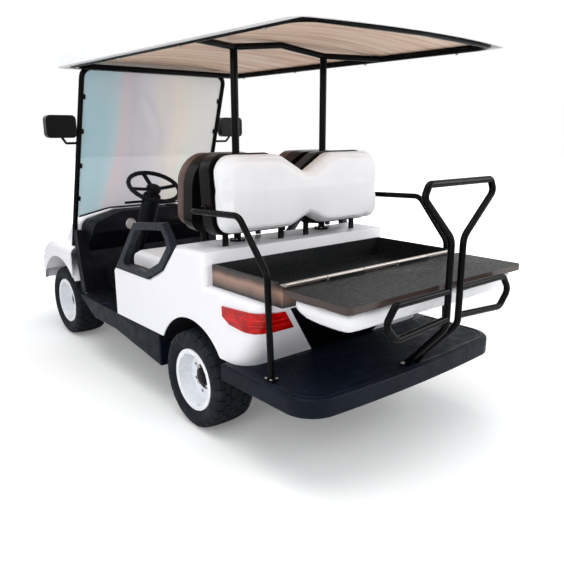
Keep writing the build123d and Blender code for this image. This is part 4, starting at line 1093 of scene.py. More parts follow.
@dataclass
class Wheel(Assembly):
    """One wheel: a treaded tyre, and the fittings on its CAD rim.

    The section is half of the tyre, as (distance from the middle, radius) from the bead to the shoulder, and
    tread goes on from there to the middle. A pitch is one repeat of the tread: notch holds the places in it
    that get points, and cut is its grooved stretch. The shoulder is where the wall's grooves begin, as a
    radius, and how far they run.
    """

    end: End
    side: Side
    radius: float = 0.23
    clearance: float = 0.0002
    section: Outline = (
        (0.0825, 0.1285), (0.0825, 0.1445), (0.0868, 0.1468), (0.0935, 0.153), (0.0985, 0.162),
        (0.1012, 0.172), (0.1022, 0.184), (0.1012, 0.195), (0.0985, 0.2045), (0.0955, 0.2115),
        (0.0915, 0.2165))
    tread: tuple[float, ...] = (0.0885, 0.0845, 0.066, 0.0625, 0.058, 0.0375, 0.034, 0.0295, 0.0095, 0.0045)
    crown_drop: float = 0.0078
    crown_power: float = 2.6
    pitches: int = 26
    notch: tuple[float, ...] = (0.0, 0.035, 0.14, 0.175, 0.5, 0.535, 0.64, 0.675)
    cut: tuple[float, float] = (0.03, 0.15)
    groove: float = 0.0065
    round_grooves: Outline = ((0.0615, 0.0635), (0.033, 0.035), (0.0, 0.0046))
    outer_row: float = 0.062
    middle_row: float = 0.034
    shoulder: tuple[float, float] = (0.2, 0.0165)
    shoulder_pinch: float = 0.03
    hub_depth: float = 0.017
    front_cap: float = 0.046
    rear_cap: float = 0.062
    nut_circle: float = 0.0508
    nut_seat: float = 0.0137
    nut_size: float = 0.0086
    stem: float = 0.0042
    stem_cap: float = 0.0052

    @property
    def tag(self) -> str:
        """The wheel's place in node names."""
        return f"{self.end.value}_{self.side.word}"

    @property
    def body(self) -> str:
        """The body that the wheel's pieces ride on."""
        return "wheel_" + self.tag

    def crown(self, x: float) -> float:
        """The tread's radius at a distance from the middle."""
        share = abs(x) / self.tread[0]
        return self.radius - self.clearance - self.crown_drop * share ** self.crown_power

    def depth(self, x: float, turn: float) -> float:
        """How far a point lies below the tread, from 0 to 1.

        Args:
            x: distance from the tyre's middle.
            turn: place in the pitch, from 0 to 1.

        Returns:
            1 in a groove, 0 on a block.
        """
        reach = abs(x)
        if any(low <= reach <= high for low, high in self.round_grooves):
            return 1.0
        row = 0 if reach > self.outer_row else 1 if reach > self.middle_row else 2
        shift = (0.0, 0.5, 0.0)[row] if x > 0 else (0.5, 0.0, 0.5)[row]
        place = (turn + shift) % 1.0
        return 1.0 if self.cut[0] < place < self.cut[1] else 0.0

    def tyre(self) -> None:
        """Build the tyre in place of its CAD node."""
        lateral = [(x, r, False) for x, r in self.section] + [(x, 0.0, True) for x in self.tread]
        lateral += [(-x, r, t) for x, r, t in reversed(lateral)]
        start, length = self.shoulder
        verts = []
        for pitch in range(self.pitches):
            for turn in self.notch:
                angle = 2 * math.pi * (pitch + turn) / self.pitches
                for x, r, is_tread in lateral:
                    if is_tread:
                        r = self.crown(x) - self.groove * self.depth(x, turn)
                    elif r > start:
                        cut = self.depth(math.copysign(self.tread[1], x), turn)
                        r -= 0.5 * self.groove * cut * (r - start) / length
                        x *= 1.0 - self.shoulder_pinch * cut
                    verts.append(Vector((x, r * math.sin(angle), r * math.cos(angle))))
        faces = loops(self.pitches * len(self.notch), len(lateral), closed=True)
        low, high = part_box("tyre_" + self.tag)
        shape = moved((verts, faces), Matrix.Translation((low + high) / 2))
        piece = self.shop.mesh("tyre_tread_" + self.tag, *shape, smooth=28.0)
        self.shop.place(piece, self.body, Look.RUBBER, "tyre_" + self.tag)

    def fittings(self) -> None:
        """Add the dark hub cap, the wheel nuts and the valve."""
        low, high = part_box("rim_" + self.tag)
        middle = (low + high) / 2
        middle.x += self.side.value * self.hub_depth
        face = Matrix.Translation(middle) @ self.side.mirror
        reach = self.rear_cap if self.end is End.REAR else self.front_cap
        cap = lathe((
            (0.0015, 0.045), (0.0015, reach - 0.001), (0.006, reach), (0.011, reach - 0.003),
            (0.0135, reach - 0.012), (0.0135, 0.046), (0.022, 0.0435), (0.0235, 0.041), (0.0245, 0.030),
            (0.0245, 0.012), (0.0265, 0.006)), 56)
        dome = lathe((
            (0.0225, 0.0405), (0.026, 0.034), (0.0295, 0.026), (0.031, 0.014), (0.0315, 0.004)), 40)
        self.shop.add("hub_cap_" + self.tag, Look.SHELL, moved(joined([cap, dome]), face), body=self.body)
        outward = Vector((1, 0, 0))
        nuts = [bolt((self.nut_seat, y, z), outward, self.nut_size) for z, y in bolt_circle(self.nut_circle)]
        self.shop.add("wheel_nuts_" + self.tag, Look.BRIGHT, moved(joined(nuts), face), body=self.body)
        stem_line = [Vector((0.006, 0.0, 0.113)), Vector((0.016, 0.0, 0.1135)), Vector((0.034, 0.0, 0.117))]
        cap_line = [Vector((0.032, 0.0, 0.1165)), Vector((0.046, 0.0, 0.119))]
        valve = joined([tube(stem_line, self.stem, sides=12), tube(cap_line, self.stem_cap, sides=12)])
        self.shop.add("valve_" + self.tag, Look.MOULDING, moved(valve, face), body=self.body)

    def build(self) -> None:
        """Build the wheel."""
        self.tyre()
        self.shop.dress(Look.RIM, "rim_" + self.tag)
        self.fittings()


@dataclass
class RunningGear(Assembly):
    """Axles, springs, motor, battery and frame, with the springs' clamps."""

    clamp_radius: float = 0.005
    clamp_step: float = 0.036
    spring_x: float = 0.29
    axle_z: float = 0.23
    bend: float = 0.03
    rise: float = 0.02
    drop: float = 0.04

    def build(self) -> None:
        """Dress the CAD nodes and add the clamps."""
        self.shop.dress(Look.FRAME, "chassis_frame", "leaf_springs")
        self.shop.dress(Look.CAST, "front_axle", "rear_axle", "drive_motor", "knuckle_left", "knuckle_right")
        self.shop.dress(Look.BATTERY, "battery_pack")
        self.clamps()

    def clamps(self) -> None:
        """Bend a pair of clamps over each rear spring seat."""
        low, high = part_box("rear_axle")
        parts = []
        for side in Side:
            for step in (-self.clamp_step, self.clamp_step):
                x, y = side.value * self.spring_x, (low.y + high.y) / 2 + step
                top, foot = self.axle_z + self.rise, self.axle_z - self.drop
                line = [Vector((x - self.bend, y, foot)), Vector((x - self.bend, y, top))]
                line += arc((x, y, top), self.bend, 180, 0, 10, Plane.XZ)
                line.append(Vector((x + self.bend, y, foot)))
                parts.append(tube(line, self.clamp_radius, sides=8))
        self.shop.add("spring_clamps", Look.BRIGHT, *parts)


# ---- bodywork ----------------------------------------------------------------------------


@dataclass
class Bodywork(Assembly):
    """Rear body, cowl, lamps, liners, rockers and bumper."""

    edge: float = 0.004
    panel_edge: float = 0.003
    bumper_edge: float = 0.006
    lamp_edge: float = 0.0015
    ridge: float = 0.0018
    ridge_stand: float = 0.0066
    lamp_ridges: tuple[float, ...] = (0.592, 0.617)
    lamp_side: float = 0.115
    side_step: float = 0.02
    back_step: float = 0.012
    lean: float = 28.0
    wall_foot: tuple[float, float] = (0.9674, 0.398)
    corner: float = 0.095
    half: float = 0.57
    tread_rows: int = 4
    tread_start: float = 0.515
    tread_gap: float = 0.011
    tread_half: float = 0.0022
    tread_length: float = 0.1
    tread_room: float = 0.11
    tread_pitch: float = 0.112
    tread_inset: float = 0.03
    tread_end: float = -0.18
    tread_sink: float = 0.0015
    tread_rise: float = 0.0018
    tread_edge: float = 0.001

    def build(self) -> None:
        """Build every body panel."""
        self.shop.soften("rear_body", self.edge, Look.BODY)
        self.shop.soften("front_cowl", self.edge, Look.BODY)
        self.shop.soften("rear_panel", self.panel_edge, Look.MOULDING)
        self.shop.soften("rocker_panels", self.edge, Look.STEP)
        self.shop.soften("front_bumper", self.bumper_edge, Look.MOULDING)
        self.shop.soften("tail_lamps", self.lamp_edge, Look.RED, 2)
        self.shop.soften("head_lamps", self.lamp_edge, Look.CLEAR, 2)
        liners = self.shop.frame["nodes"]["wheel_liners"].data
        self.shop.tone(liners, (Look.MOULDING, Look.BODY), lambda face: int(face.center.y < 0.0))
        self.ridges()
        self.step_treads()

    def lamp_line(self, z: float) -> list[Vector]:
        """A line round the left rear corner at a height, just off the lamp.

        Args:
            z: the height.

        Returns:
            The points from the side to the rear wall.
        """
        rear = self.wall_foot[0] + (z - self.wall_foot[1]) * math.tan(math.radians(self.lean))
        x, y, off = self.half - self.corner, rear - self.corner, self.ridge_stand
        start = y - self.lamp_side
        side = [Vector((self.half + off, start + self.side_step * step, z)) for step in range(6)]
        back = [Vector((x - self.back_step * step, rear + off, z)) for step in range(1, 4)]
        return side + arc((x, y, z), self.corner + off, 0, 90, 12) + back

    def ridges(self) -> None:
        """Lay ridges across both tail lamps, in a paler glowing red that is a painted highlight."""
        parts = []
        for z in self.lamp_ridges:
            line = self.lamp_line(z)
            parts.append(tube(line, self.ridge, sides=8))
            parts.append(tube([Vector((-p.x, p.y, p.z)) for p in line], self.ridge, sides=8))
        # painted highlight: the ridges' finish stands in for light caught on the lens
        self.shop.add("lamp_ridges", Look.RED_PALE, *parts)

    def step_treads(self) -> None:
        """Rib the tops of the side steps."""
        low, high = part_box("rocker_panels")
        parts = []
        for side in Side:
            for row in range(self.tread_rows):
                x = side.value * (self.tread_start + self.tread_gap * row)
                y = low.y + self.tread_inset
                while y + self.tread_room < min(high.y, self.tread_end):
                    first = (x - self.tread_half, y, high.z - self.tread_sink)
                    last = (x + self.tread_half, y + self.tread_length, high.z + self.tread_rise)
                    parts.append(rounded_bar(first, last, self.tread_edge))
                    y += self.tread_pitch
        self.shop.add("step_treads", Look.STEP, *parts)


# ---- roof, windshield --------------------------------------------------------------------


@dataclass
class Roof(Assembly):
    """Canopy, its warm lining, the frame and its fixings.

    ripple_scale is the lining's waves per metre across and along, and their seed.
    """

    edge: float = 0.012
    sill: float = 1.6893
    rise: float = 0.034
    half: float = 0.55
    inset: float = 0.018
    drop: float = 0.0012
    sheet: float = 0.0015
    rear_bow: float = 0.065
    corner: float = 0.085
    corner_reach: float = 0.067
    corner_pull: float = 0.055
    ripple: float = 0.0006
    ripple_scale: Point = (4, 14, 1.7)
    columns: int = 28
    rows: int = 40
    post_foot: Point = (0.27, 0.53, 0.8384)
    post_circle: float = 0.0275
    post_bolt: float = 0.0055
    rail: tuple[float, float] = (0.55, 1.6592)
    rail_bolts: tuple[float, ...] = (-0.5, 0.0, 0.55, 1.1)
    rail_bolt: float = 0.006

    def build(self) -> None:
        """Build the roof."""
        self.shop.soften("roof_canopy", self.edge, Look.ROOF, 4)
        self.shop.dress(Look.TUBE, "roof_frame")
        self.lining()
        self.fixings()

    def ceiling(self, x: float) -> float:
        """Height of the canopy's underside at a distance from the middle."""
        share = min(abs(x) / self.half, 1.0)
        return self.sill + self.rise * (1 - share * share)

    def layer(self, below: float) -> list[Vector]:
        """One side of the lining.

        Args:
            below: how far it lies under the canopy.

        Returns:
            Its points, row by row from the front.
        """
        low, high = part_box("roof_canopy")
        across, along, seed = self.ripple_scale
        verts = []
        for row in range(self.rows + 1):
            share = row / self.rows
            for column in range(self.columns + 1):
                x = (2 * column / self.columns - 1) * (high.x - self.inset)
                bow = self.rear_bow * (1 - (x / high.x) ** 2)
                start, end = low.y + self.inset, high.y - self.rear_bow - self.inset + bow
                corner = max(0.0, abs(x) - (high.x - self.corner)) / self.corner_reach
                pull = self.corner_pull * (1 - math.sqrt(max(0.0, 1 - corner ** 2)))
                y = start + pull + (end - start - 2 * pull) * share
                wave = self.ripple * noise.noise(Vector((x * across, y * along, seed)))
                verts.append(Vector((x, y, self.ceiling(x) - below + wave)))
        return verts

    def lining(self) -> None:
        """Hang a thin lining under the canopy's sheet."""
        verts = self.layer(self.drop) + self.layer(self.drop + self.sheet)
        wide = self.columns + 1
        size = wide * (self.rows + 1)
        faces = []
        for row in range(self.rows):
            for column in range(self.columns):
                first = row * wide + column
                faces.append((first, first + 1, first + wide + 1, first + wide))
                faces.append((size + first, size + first + wide, size + first + wide + 1, size + first + 1))
        for column in range(self.columns):
            last = self.rows * wide + column
            faces.append((column, size + column, size + column + 1, column + 1))
            faces.append((last, last + 1, size + last + 1, size + last))
        for row in range(self.rows):
            near, far = row * wide, row * wide + self.columns
            faces.append((near, near + wide, size + near + wide, size + near))
            faces.append((far, size + far, size + far + wide, far + wide))
        self.shop.add("roof_lining", Look.LINING, (verts, faces))

    def fixings(self) -> None:
        """Bolt the posts' flanges down and the canopy up to the rails."""
        parts = []
        half, y, z = self.post_foot
        for x in (-half, half):
            for out, back in bolt_circle(self.post_circle):
                parts.append(bolt((x + out, y + back, z), Vector((0, 0, 1)), self.post_bolt))
        x, z = self.rail
        for side in Side:
            for y in self.rail_bolts:
                parts.append(bolt((side.value * x, y, z), Vector((0, 0, -1)), self.rail_bolt))
        self.shop.add("roof_bolts", Look.BRIGHT, *parts)


@dataclass
class Windscreen(Assembly):
    """Glazing, its clamps and trim, and the mirrors."""

    rake: float = 18.2
    top: tuple[float, float] = (-0.616, 1.676)
    clip_x: float = 0.452
    clip_heights: tuple[float, ...] = (0.93, 1.13, 1.33, 1.52)
    clip_low: Point = (-0.002, -0.008, -0.014)
    clip_high: Point = (0.03, 0.0125, 0.014)
    clip_edge: float = 0.004
    seal_half: float = 0.45
    seal_step: float = 0.025
    seal_count: int = 37
    seal_top: float = 0.856
    seal_flat: float = 0.255
    seal_slope: float = 0.2158
    seal: float = 0.0062
    shell_edge: float = 0.009
    mirror_inner: float = 0.512
    mirror_outer: float = 0.664
    mirror_low: float = 1.304
    mirror_high: float = 1.406
    mirror_depth: float = 0.004
    mirror_gap: float = 0.0002
    mirror_edge: float = 0.0016

    def pillar(self, z: float) -> float:
        """The pillar's y at a height."""
        return self.top[0] - (self.top[1] - z) * math.tan(math.radians(self.rake))

    def build(self) -> None:
        """Build the windscreen."""
        self.shop.dress(Look.TUBE, "windshield_frame")
        self.shop.dress(Look.GLASS, "windshield")
        self.clips()
        self.strip()
        self.mirrors()

    def clips(self) -> None:
        """Clamp the glazing to the pillars."""
        parts = []
        for side in Side:
            for z in self.clip_heights:
                clip = rounded_bar(self.clip_low, self.clip_high, self.clip_edge)
                at = turned((side.value * self.clip_x, self.pillar(z), z), -self.rake, "X")
                parts.append(moved(clip, at @ side.mirror))
        self.shop.add("windscreen_clips", Look.MOULDING, *parts)

    def strip(self) -> None:
        """Seal the glazing's foot along the cowl, which falls away at both ends."""
        line = []
        for step in range(self.seal_count):
            x = self.seal_half - self.seal_step * step
            z = self.seal_top - self.seal_slope * max(0.0, abs(x) - self.seal_flat)
            line.append(Vector((x, self.pillar(z), z)))
        self.shop.add("windscreen_seal", Look.MOULDING, tube(line, self.seal))

    def mirrors(self) -> None:
        """Round the mirrors' shells and set their glasses."""
        self.shop.soften("mirrors", self.shell_edge, Look.SHELL, 4)
        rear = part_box("mirrors")[1].y
        parts = []
        for side in Side:
            inner, outer = sorted((side.value * self.mirror_inner, side.value * self.mirror_outer))
            low = (inner, rear - self.mirror_depth, self.mirror_low)
            high = (outer, rear - self.mirror_gap, self.mirror_high)
            parts.append(rounded_bar(low, high, self.mirror_edge, 1))
        self.shop.add("mirror_glasses", Look.MIRROR, *parts)


# ---- cabin -------------------------------------------------------------------------------


@dataclass
class Cabin(Assembly):
    """Floor mat, dashboard fittings, pedals and steering.

    The gauge, the key switch and the glove lid are placed by (x, distance below the dashboard's top). The
    pedals' ribs lie on a line from the pedal's foot that goes back and up by pedal_rise.
    """

    dash_edge: float = 0.009
    column_edge: float = 0.004
    pedal_edge: float = 0.003
    wheel_at: Point = (0.242, -0.3, 1.024)
    tilt: float = 30.0
    rim: float = 0.143
    rim_steps: int = 120
    rim_sides: int = 14
    grip: float = 0.0128
    finger_depth: float = 0.07
    fingers: int = 24
    spokes: tuple[float, ...] = (0.0, 180.0, -90.0)
    spoke_line: Outline = ((0.025, -0.014), (0.06, -0.012), (0.1, -0.007), (0.141, -0.001))
    spoke: float = 0.0145
    spoke_flat: float = 0.42
    pad: Outline = (
        (-0.034, 0.030), (-0.033, 0.036), (-0.02, 0.041), (-0.006, 0.0415), (-0.0015, 0.036),
        (-0.0004, 0.022))
    shaft: Outline = ((-0.08, 0.0098), (-0.03, 0.0098))
    mat_ribs: int = 26
    mat_start: float = -0.47
    mat_pitch: float = 0.0376
    mat_half: float = 0.005
    mat_front: float = 0.19
    mat_rear: float = 0.05
    mat_sink: float = 0.001
    mat_rise: float = 0.0028
    mat_edge: float = 0.0018
    cups: tuple[float, ...] = (-0.04, -0.165)
    cup_back: float = 0.115
    cup: float = 0.043
    cup_ring: float = 0.0045
    cup_rise: float = 0.0015
    gauge_at: tuple[float, float] = (0.2, 0.078)
    gauge: Outline = ((-0.006, 0.034), (0.008, 0.034), (0.0105, 0.0315), (0.0085, 0.0285), (0.0065, 0.0275))
    key_at: tuple[float, float] = (0.08, 0.082)
    key: Outline = (
        (-0.004, 0.012), (0.004, 0.012), (0.0055, 0.010), (0.0055, 0.0035), (0.012, 0.0035), (0.013, 0.002))
    lid_low: tuple[float, float] = (-0.4, 0.108)
    lid_high: tuple[float, float] = (-0.02, 0.062)
    lid_sink: float = 0.002
    lid_rise: float = 0.0045
    lid_edge: float = 0.003
    pedals: Outline = ((0.14, 0.195), (0.305, 0.35))
    pedal_ribs: int = 7
    pedal_foot: float = 0.107
    pedal_rise: tuple[float, float] = (-0.0742, 0.155)
    pad_start: float = 0.45
    pad_step: float = 0.08
    pad_half: float = 0.003
    pad_rise: float = 0.004
    pad_edge: float = 0.0015

    def build(self) -> None:
        """Build the cabin."""
        self.shop.dress(Look.MOULDING, "floor_panel")
        self.shop.soften("dashboard", self.dash_edge, Look.MOULDING, 4)
        self.shop.soften("steering_column", self.column_edge, Look.MOULDING)
        self.shop.soften("pedals", self.pedal_edge, Look.MOULDING)
        self.steering_wheel()
        self.mat()
        self.dash_fittings()
        self.pedal_pads()

    def gripped_rim(self) -> Shape:
        """The wheel's rim, with a waist between each two fingers.

        Returns:
            Vertices and faces.
        """
        ring, faces = tube(circle((0, 0, 0), self.rim, self.rim_steps), self.grip, True, self.rim_sides)
        shaped = []
        for index, vert in enumerate(ring):
            turn = (index // self.rim_sides) / self.rim_steps * 2 * math.pi
            middle = Vector((math.cos(turn), math.sin(turn), 0)) * self.rim
            swell = 1.0 - self.finger_depth * (0.5 + 0.5 * math.cos(turn * self.fingers))
            shaped.append(middle + (vert - middle) * swell)
        return shaped, faces

    def steering_wheel(self) -> None:
        """Build the wheel: a gripped rim, three spokes, a pad and the shaft."""
        parts = [self.gripped_rim()]
        for turn in self.spokes:
            line = [Vector((along, 0, up)) for along, up in self.spoke_line]
            spoke = tube(line, self.spoke, sides=14, flat=self.spoke_flat)
            parts.append(moved(spoke, Matrix.Rotation(math.radians(turn), 4, "Z")))
        upright = Matrix.Rotation(math.radians(-90), 4, "Y")
        parts.append(moved(lathe(self.pad, 40), upright))
        parts.append(moved(lathe(self.shaft, 20), upright))
        shape = moved(joined(parts), turned(self.wheel_at, -self.tilt, "X"))
        piece = self.shop.mesh("steering_wheel_gripped", *shape)
        self.shop.place(piece, "steering_wheel", Look.MOULDING, "steering_wheel")

    def mat(self) -> None:
        """Rib the cabin floor."""
        low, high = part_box("floor_panel")
        parts = []
        for row in range(self.mat_ribs):
            x = self.mat_start + row * self.mat_pitch
            first = (x - self.mat_half, low.y + self.mat_front, high.z - self.mat_sink)
            last = (x + self.mat_half, high.y - self.mat_rear, high.z + self.mat_rise)
            parts.append(rounded_bar(first, last, self.mat_edge))
        self.shop.add("floor_ribs", Look.MOULDING, *parts)

    def dash_fittings(self) -> None:
        """Add the gauge, the key switch, two cup rings and the glove lid."""
        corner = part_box("dashboard")[1]
        top, lip = corner.z, corner.y
        rings = []
        for x in self.cups:
            line = circle((x, lip - self.cup_back, top + self.cup_rise), self.cup, 44)
            rings.append(tube(line, self.cup_ring, closed=True))
        self.shop.add("cup_rings", Look.SHELL, *rings)
        dials = []
        for outline, (x, down), steps in ((self.gauge, self.gauge_at, 40), (self.key, self.key_at, 24)):
            dials.append(moved(lathe(outline, steps), turned((x, lip, top - down), 90, "Z")))
        self.shop.add("dash_gauge", Look.BRIGHT, *dials)
        low = (self.lid_low[0], lip - self.lid_sink, top - self.lid_low[1])
        high = (self.lid_high[0], lip + self.lid_rise, top - self.lid_high[1])
        self.shop.add("glove_lid", Look.SHELL, rounded_bar(low, high, self.lid_edge))

    def pedal_pads(self) -> None:
        """Put a ribbed rubber pad on each pedal."""
        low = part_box("pedals")[0]
        parts = []
        for left, right in self.pedals:
            for row in range(self.pedal_ribs):
                share = self.pad_start + row * self.pad_step
                y = low.y + self.pedal_foot + self.pedal_rise[0] * share
                z = low.z + self.pedal_rise[1] * share
                first = (left, y - self.pad_half, z - self.pad_half)
                last = (right, y + self.pad_rise, z + self.pad_half)
                parts.append(rounded_bar(first, last, self.pad_edge))
        self.shop.add("pedal_ribs", Look.RUBBER, *parts)


# ---- seats -------------------------------------------------------------------------------


@dataclass
class Cushion(Assembly):
    """A padded cushion that swells out of its CAD solid.

    Each channel is its axis, its place on that axis, its depth and its width.
    """

    node: str
    body: str
    face: Vector
    band: float
    voxel: float = 0.0095
    cap: float = 0.022
    shrink: float = 0.011
    channels: tuple[tuple[int, float, float, float], ...] = ()
    give: float = 0.003
    pressure: float = 4.0
    quality: int = 4
    frames: int = 20
    fair_factor: float = 0.5
    fair_passes: int = 6
    skin: float = 0.0004
    low_piping: float = 0.0022
    high_piping: float = 0.0018
    high_share: float = 0.82
    piping_pitch: float = 0.009
    piping_points: int = 60

    def __post_init__(self) -> None:
        """Give the face a length of 1."""
        self.face = self.face.normalized()

    def start(self) -> bpy.types.Object:
        """A slightly smaller, evenly meshed copy of the solid.

        Returns:
            The copy.
        """
        copy = self.shop.copy_of(self.node)
        low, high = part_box(self.node)
        middle = (low + high) / 2
        size = high - low
        for vert in copy.verts:
            offset = vert.co - middle
            vert.co = middle + Vector(o * (1 - 2 * self.shrink / s) for o, s in zip(offset, size))
        data = bpy.data.meshes.new(self.node + "_padded")
        bmesh.ops.triangulate(copy, faces=copy.faces)
        copy.to_mesh(data)
        copy.free()
        piece = self.shop.hang(self.node + "_padded", data)
        grid = piece.modifiers.new("even", "REMESH")
        grid.mode = "VOXEL"
        grid.voxel_size = self.voxel
        fair = piece.modifiers.new("fair", "SMOOTH")
        fair.factor = self.fair_factor
        fair.iterations = self.fair_passes
        meshed = self.shop.applied(piece)
        piece.modifiers.clear()
        piece.data = meshed
        return piece

    def swell(self, piece: bpy.types.Object) -> None:
        """Fill the cover by cloth pressure, so that it rises to the cap and gives a little sideways.

        Args:
            piece: the meshed copy.
        """
        before = [vert.co.copy() for vert in piece.data.vertices]
        cloth = piece.modifiers.new("cover", "CLOTH")
        settings = cloth.settings
        settings.quality = self.quality
        settings.use_pressure = True
        settings.uniform_pressure_force = self.pressure
        settings.effector_weights.gravity = 0.0
        cloth.point_cache.frame_start = 1
        cloth.point_cache.frame_end = self.frames
        scene = bpy.context.scene
        for frame in range(1, self.frames + 1):
            scene.frame_set(frame)
        filled = self.shop.applied(piece)
        piece.modifiers.clear()
        scene.frame_set(1)
        for vert, old in zip(filled.vertices, before):
            step = vert.co - old
            rise = step.dot(self.face)
            across = step - self.face * rise
            if across.length > self.give:
                across *= self.give / across.length
            vert.co = old + across + self.face * max(-self.give, min(self.cap, rise))
        piece.data = filled

    def shape(self, piece: bpy.types.Object) -> None:
        """Subdivide, press in the sewn channels and keep inside the solid's own space.

        Args:
            piece: the swollen cover.
        """
        finer = piece.modifiers.new("finer", "SUBSURF")
        finer.levels = 1
        finer.render_levels = 1
        data = self.shop.applied(piece)
        piece.modifiers.clear()
        piece.data = data
        low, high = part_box(self.node)
        normals = [vert.normal.copy() for vert in data.vertices]
        for vert, normal in zip(data.vertices, normals):
            facing = max(0.0, normal.dot(self.face))
            for axis, place, depth, width in self.channels:
                gap = (vert.co[axis] - place) / width
                vert.co -= normal * depth * facing * math.exp(-gap * gap)
            for axis in range(3):
                vert.co[axis] = min(max(vert.co[axis], low[axis] + self.skin), high[axis] - self.skin)
        data.shade_smooth()

    def level(self, piece: bpy.types.Object, share: float) -> float:
        """How far out along the face a share of the cushion's depth lies.

        Args:
            piece: the cushion.
            share: 0 at its base, 1 at its face.

        Returns:
            The distance from the origin.
        """
        reach = [vert.co.dot(self.face) for vert in piece.data.vertices]
        return min(reach) + (max(reach) - min(reach)) * share

    def boxing(self, piece: bpy.types.Object) -> None:
        """Give the side band by the shell the darker vinyl.

        Args:
            piece: the cushion.
        """
        edge = self.level(piece, self.band)
        looks = (Look.SEAT, Look.BOXING)
        self.shop.tone(piece.data, looks, lambda face: int(face.center.dot(self.face) < edge))

    def piping(self, piece: bpy.types.Object, share: float, radius: float) -> None:
        """Lay piping round the cushion.

        Args:
            piece: the cushion.
            share: its height, 0 at the cushion's base and 1 at its face.
            radius: of the piping.
        """
        parts = []
        for line in slice_loops(piece.data, self.face * self.level(piece, share), self.face):
            length = sum((a - b).length for a, b in zip(line, line[1:]))
            count = max(self.piping_points, int(length / self.piping_pitch))
            parts.append(tube(even(line, count), radius, closed=True, sides=8))
        if parts:
            look = Look.BOXING if share <= self.band else Look.SEAT
            self.shop.add(f"{self.node}_piping_{int(share * 100)}", look, *parts, body=self.body)

    def build(self) -> None:
        """Build the cushion and its piping."""
        piece = self.start()
        self.swell(piece)
        self.shape(piece)
        self.boxing(piece)
        self.shop.place(piece, self.body, Look.SEAT, self.node)
        self.piping(piece, self.band, self.low_piping)
        self.piping(piece, self.high_share, self.high_piping)


@dataclass
class Seats(Assembly):
    """The four cushions, their shells and the hip restraints."""

    lean: float = 5.0
    shell_edge: float = 0.004
    restraint_edge: float = 0.012

    def build(self) -> None:
        """Build the seats."""
        lean = math.radians(self.lean)
        back, tip = math.cos(lean), math.sin(lean)
        seam = ((0, 0.0, 0.004, 0.006),)
        for cushion in (
            Cushion(self.shop, "rear_backrest_cushion", CHASSIS, Vector((0, back, tip)), band=0.14),
            Cushion(self.shop, "front_backrest_cushion", CHASSIS, Vector((0, -back, tip)), band=0.62),
            Cushion(self.shop, "front_seat_cushion", "front_seat", Vector((0, 0, 1)), band=0.3,
                    voxel=0.011, cap=0.026, channels=seam),
            Cushion(self.shop, "flip_cushion", "flip_seat", Vector((0, 0, -1)), band=0.1,
                    voxel=0.0105, cap=0.024, shrink=0.009, channels=seam),
        ):
            cushion.build()
        self.shop.soften("backrest_shells", self.shell_edge, Look.SHELL)
        self.shop.soften("hip_restraints", self.restraint_edge, Look.RESTRAINT, 4)


# ---- bed and rear step -------------------------------------------------------------------


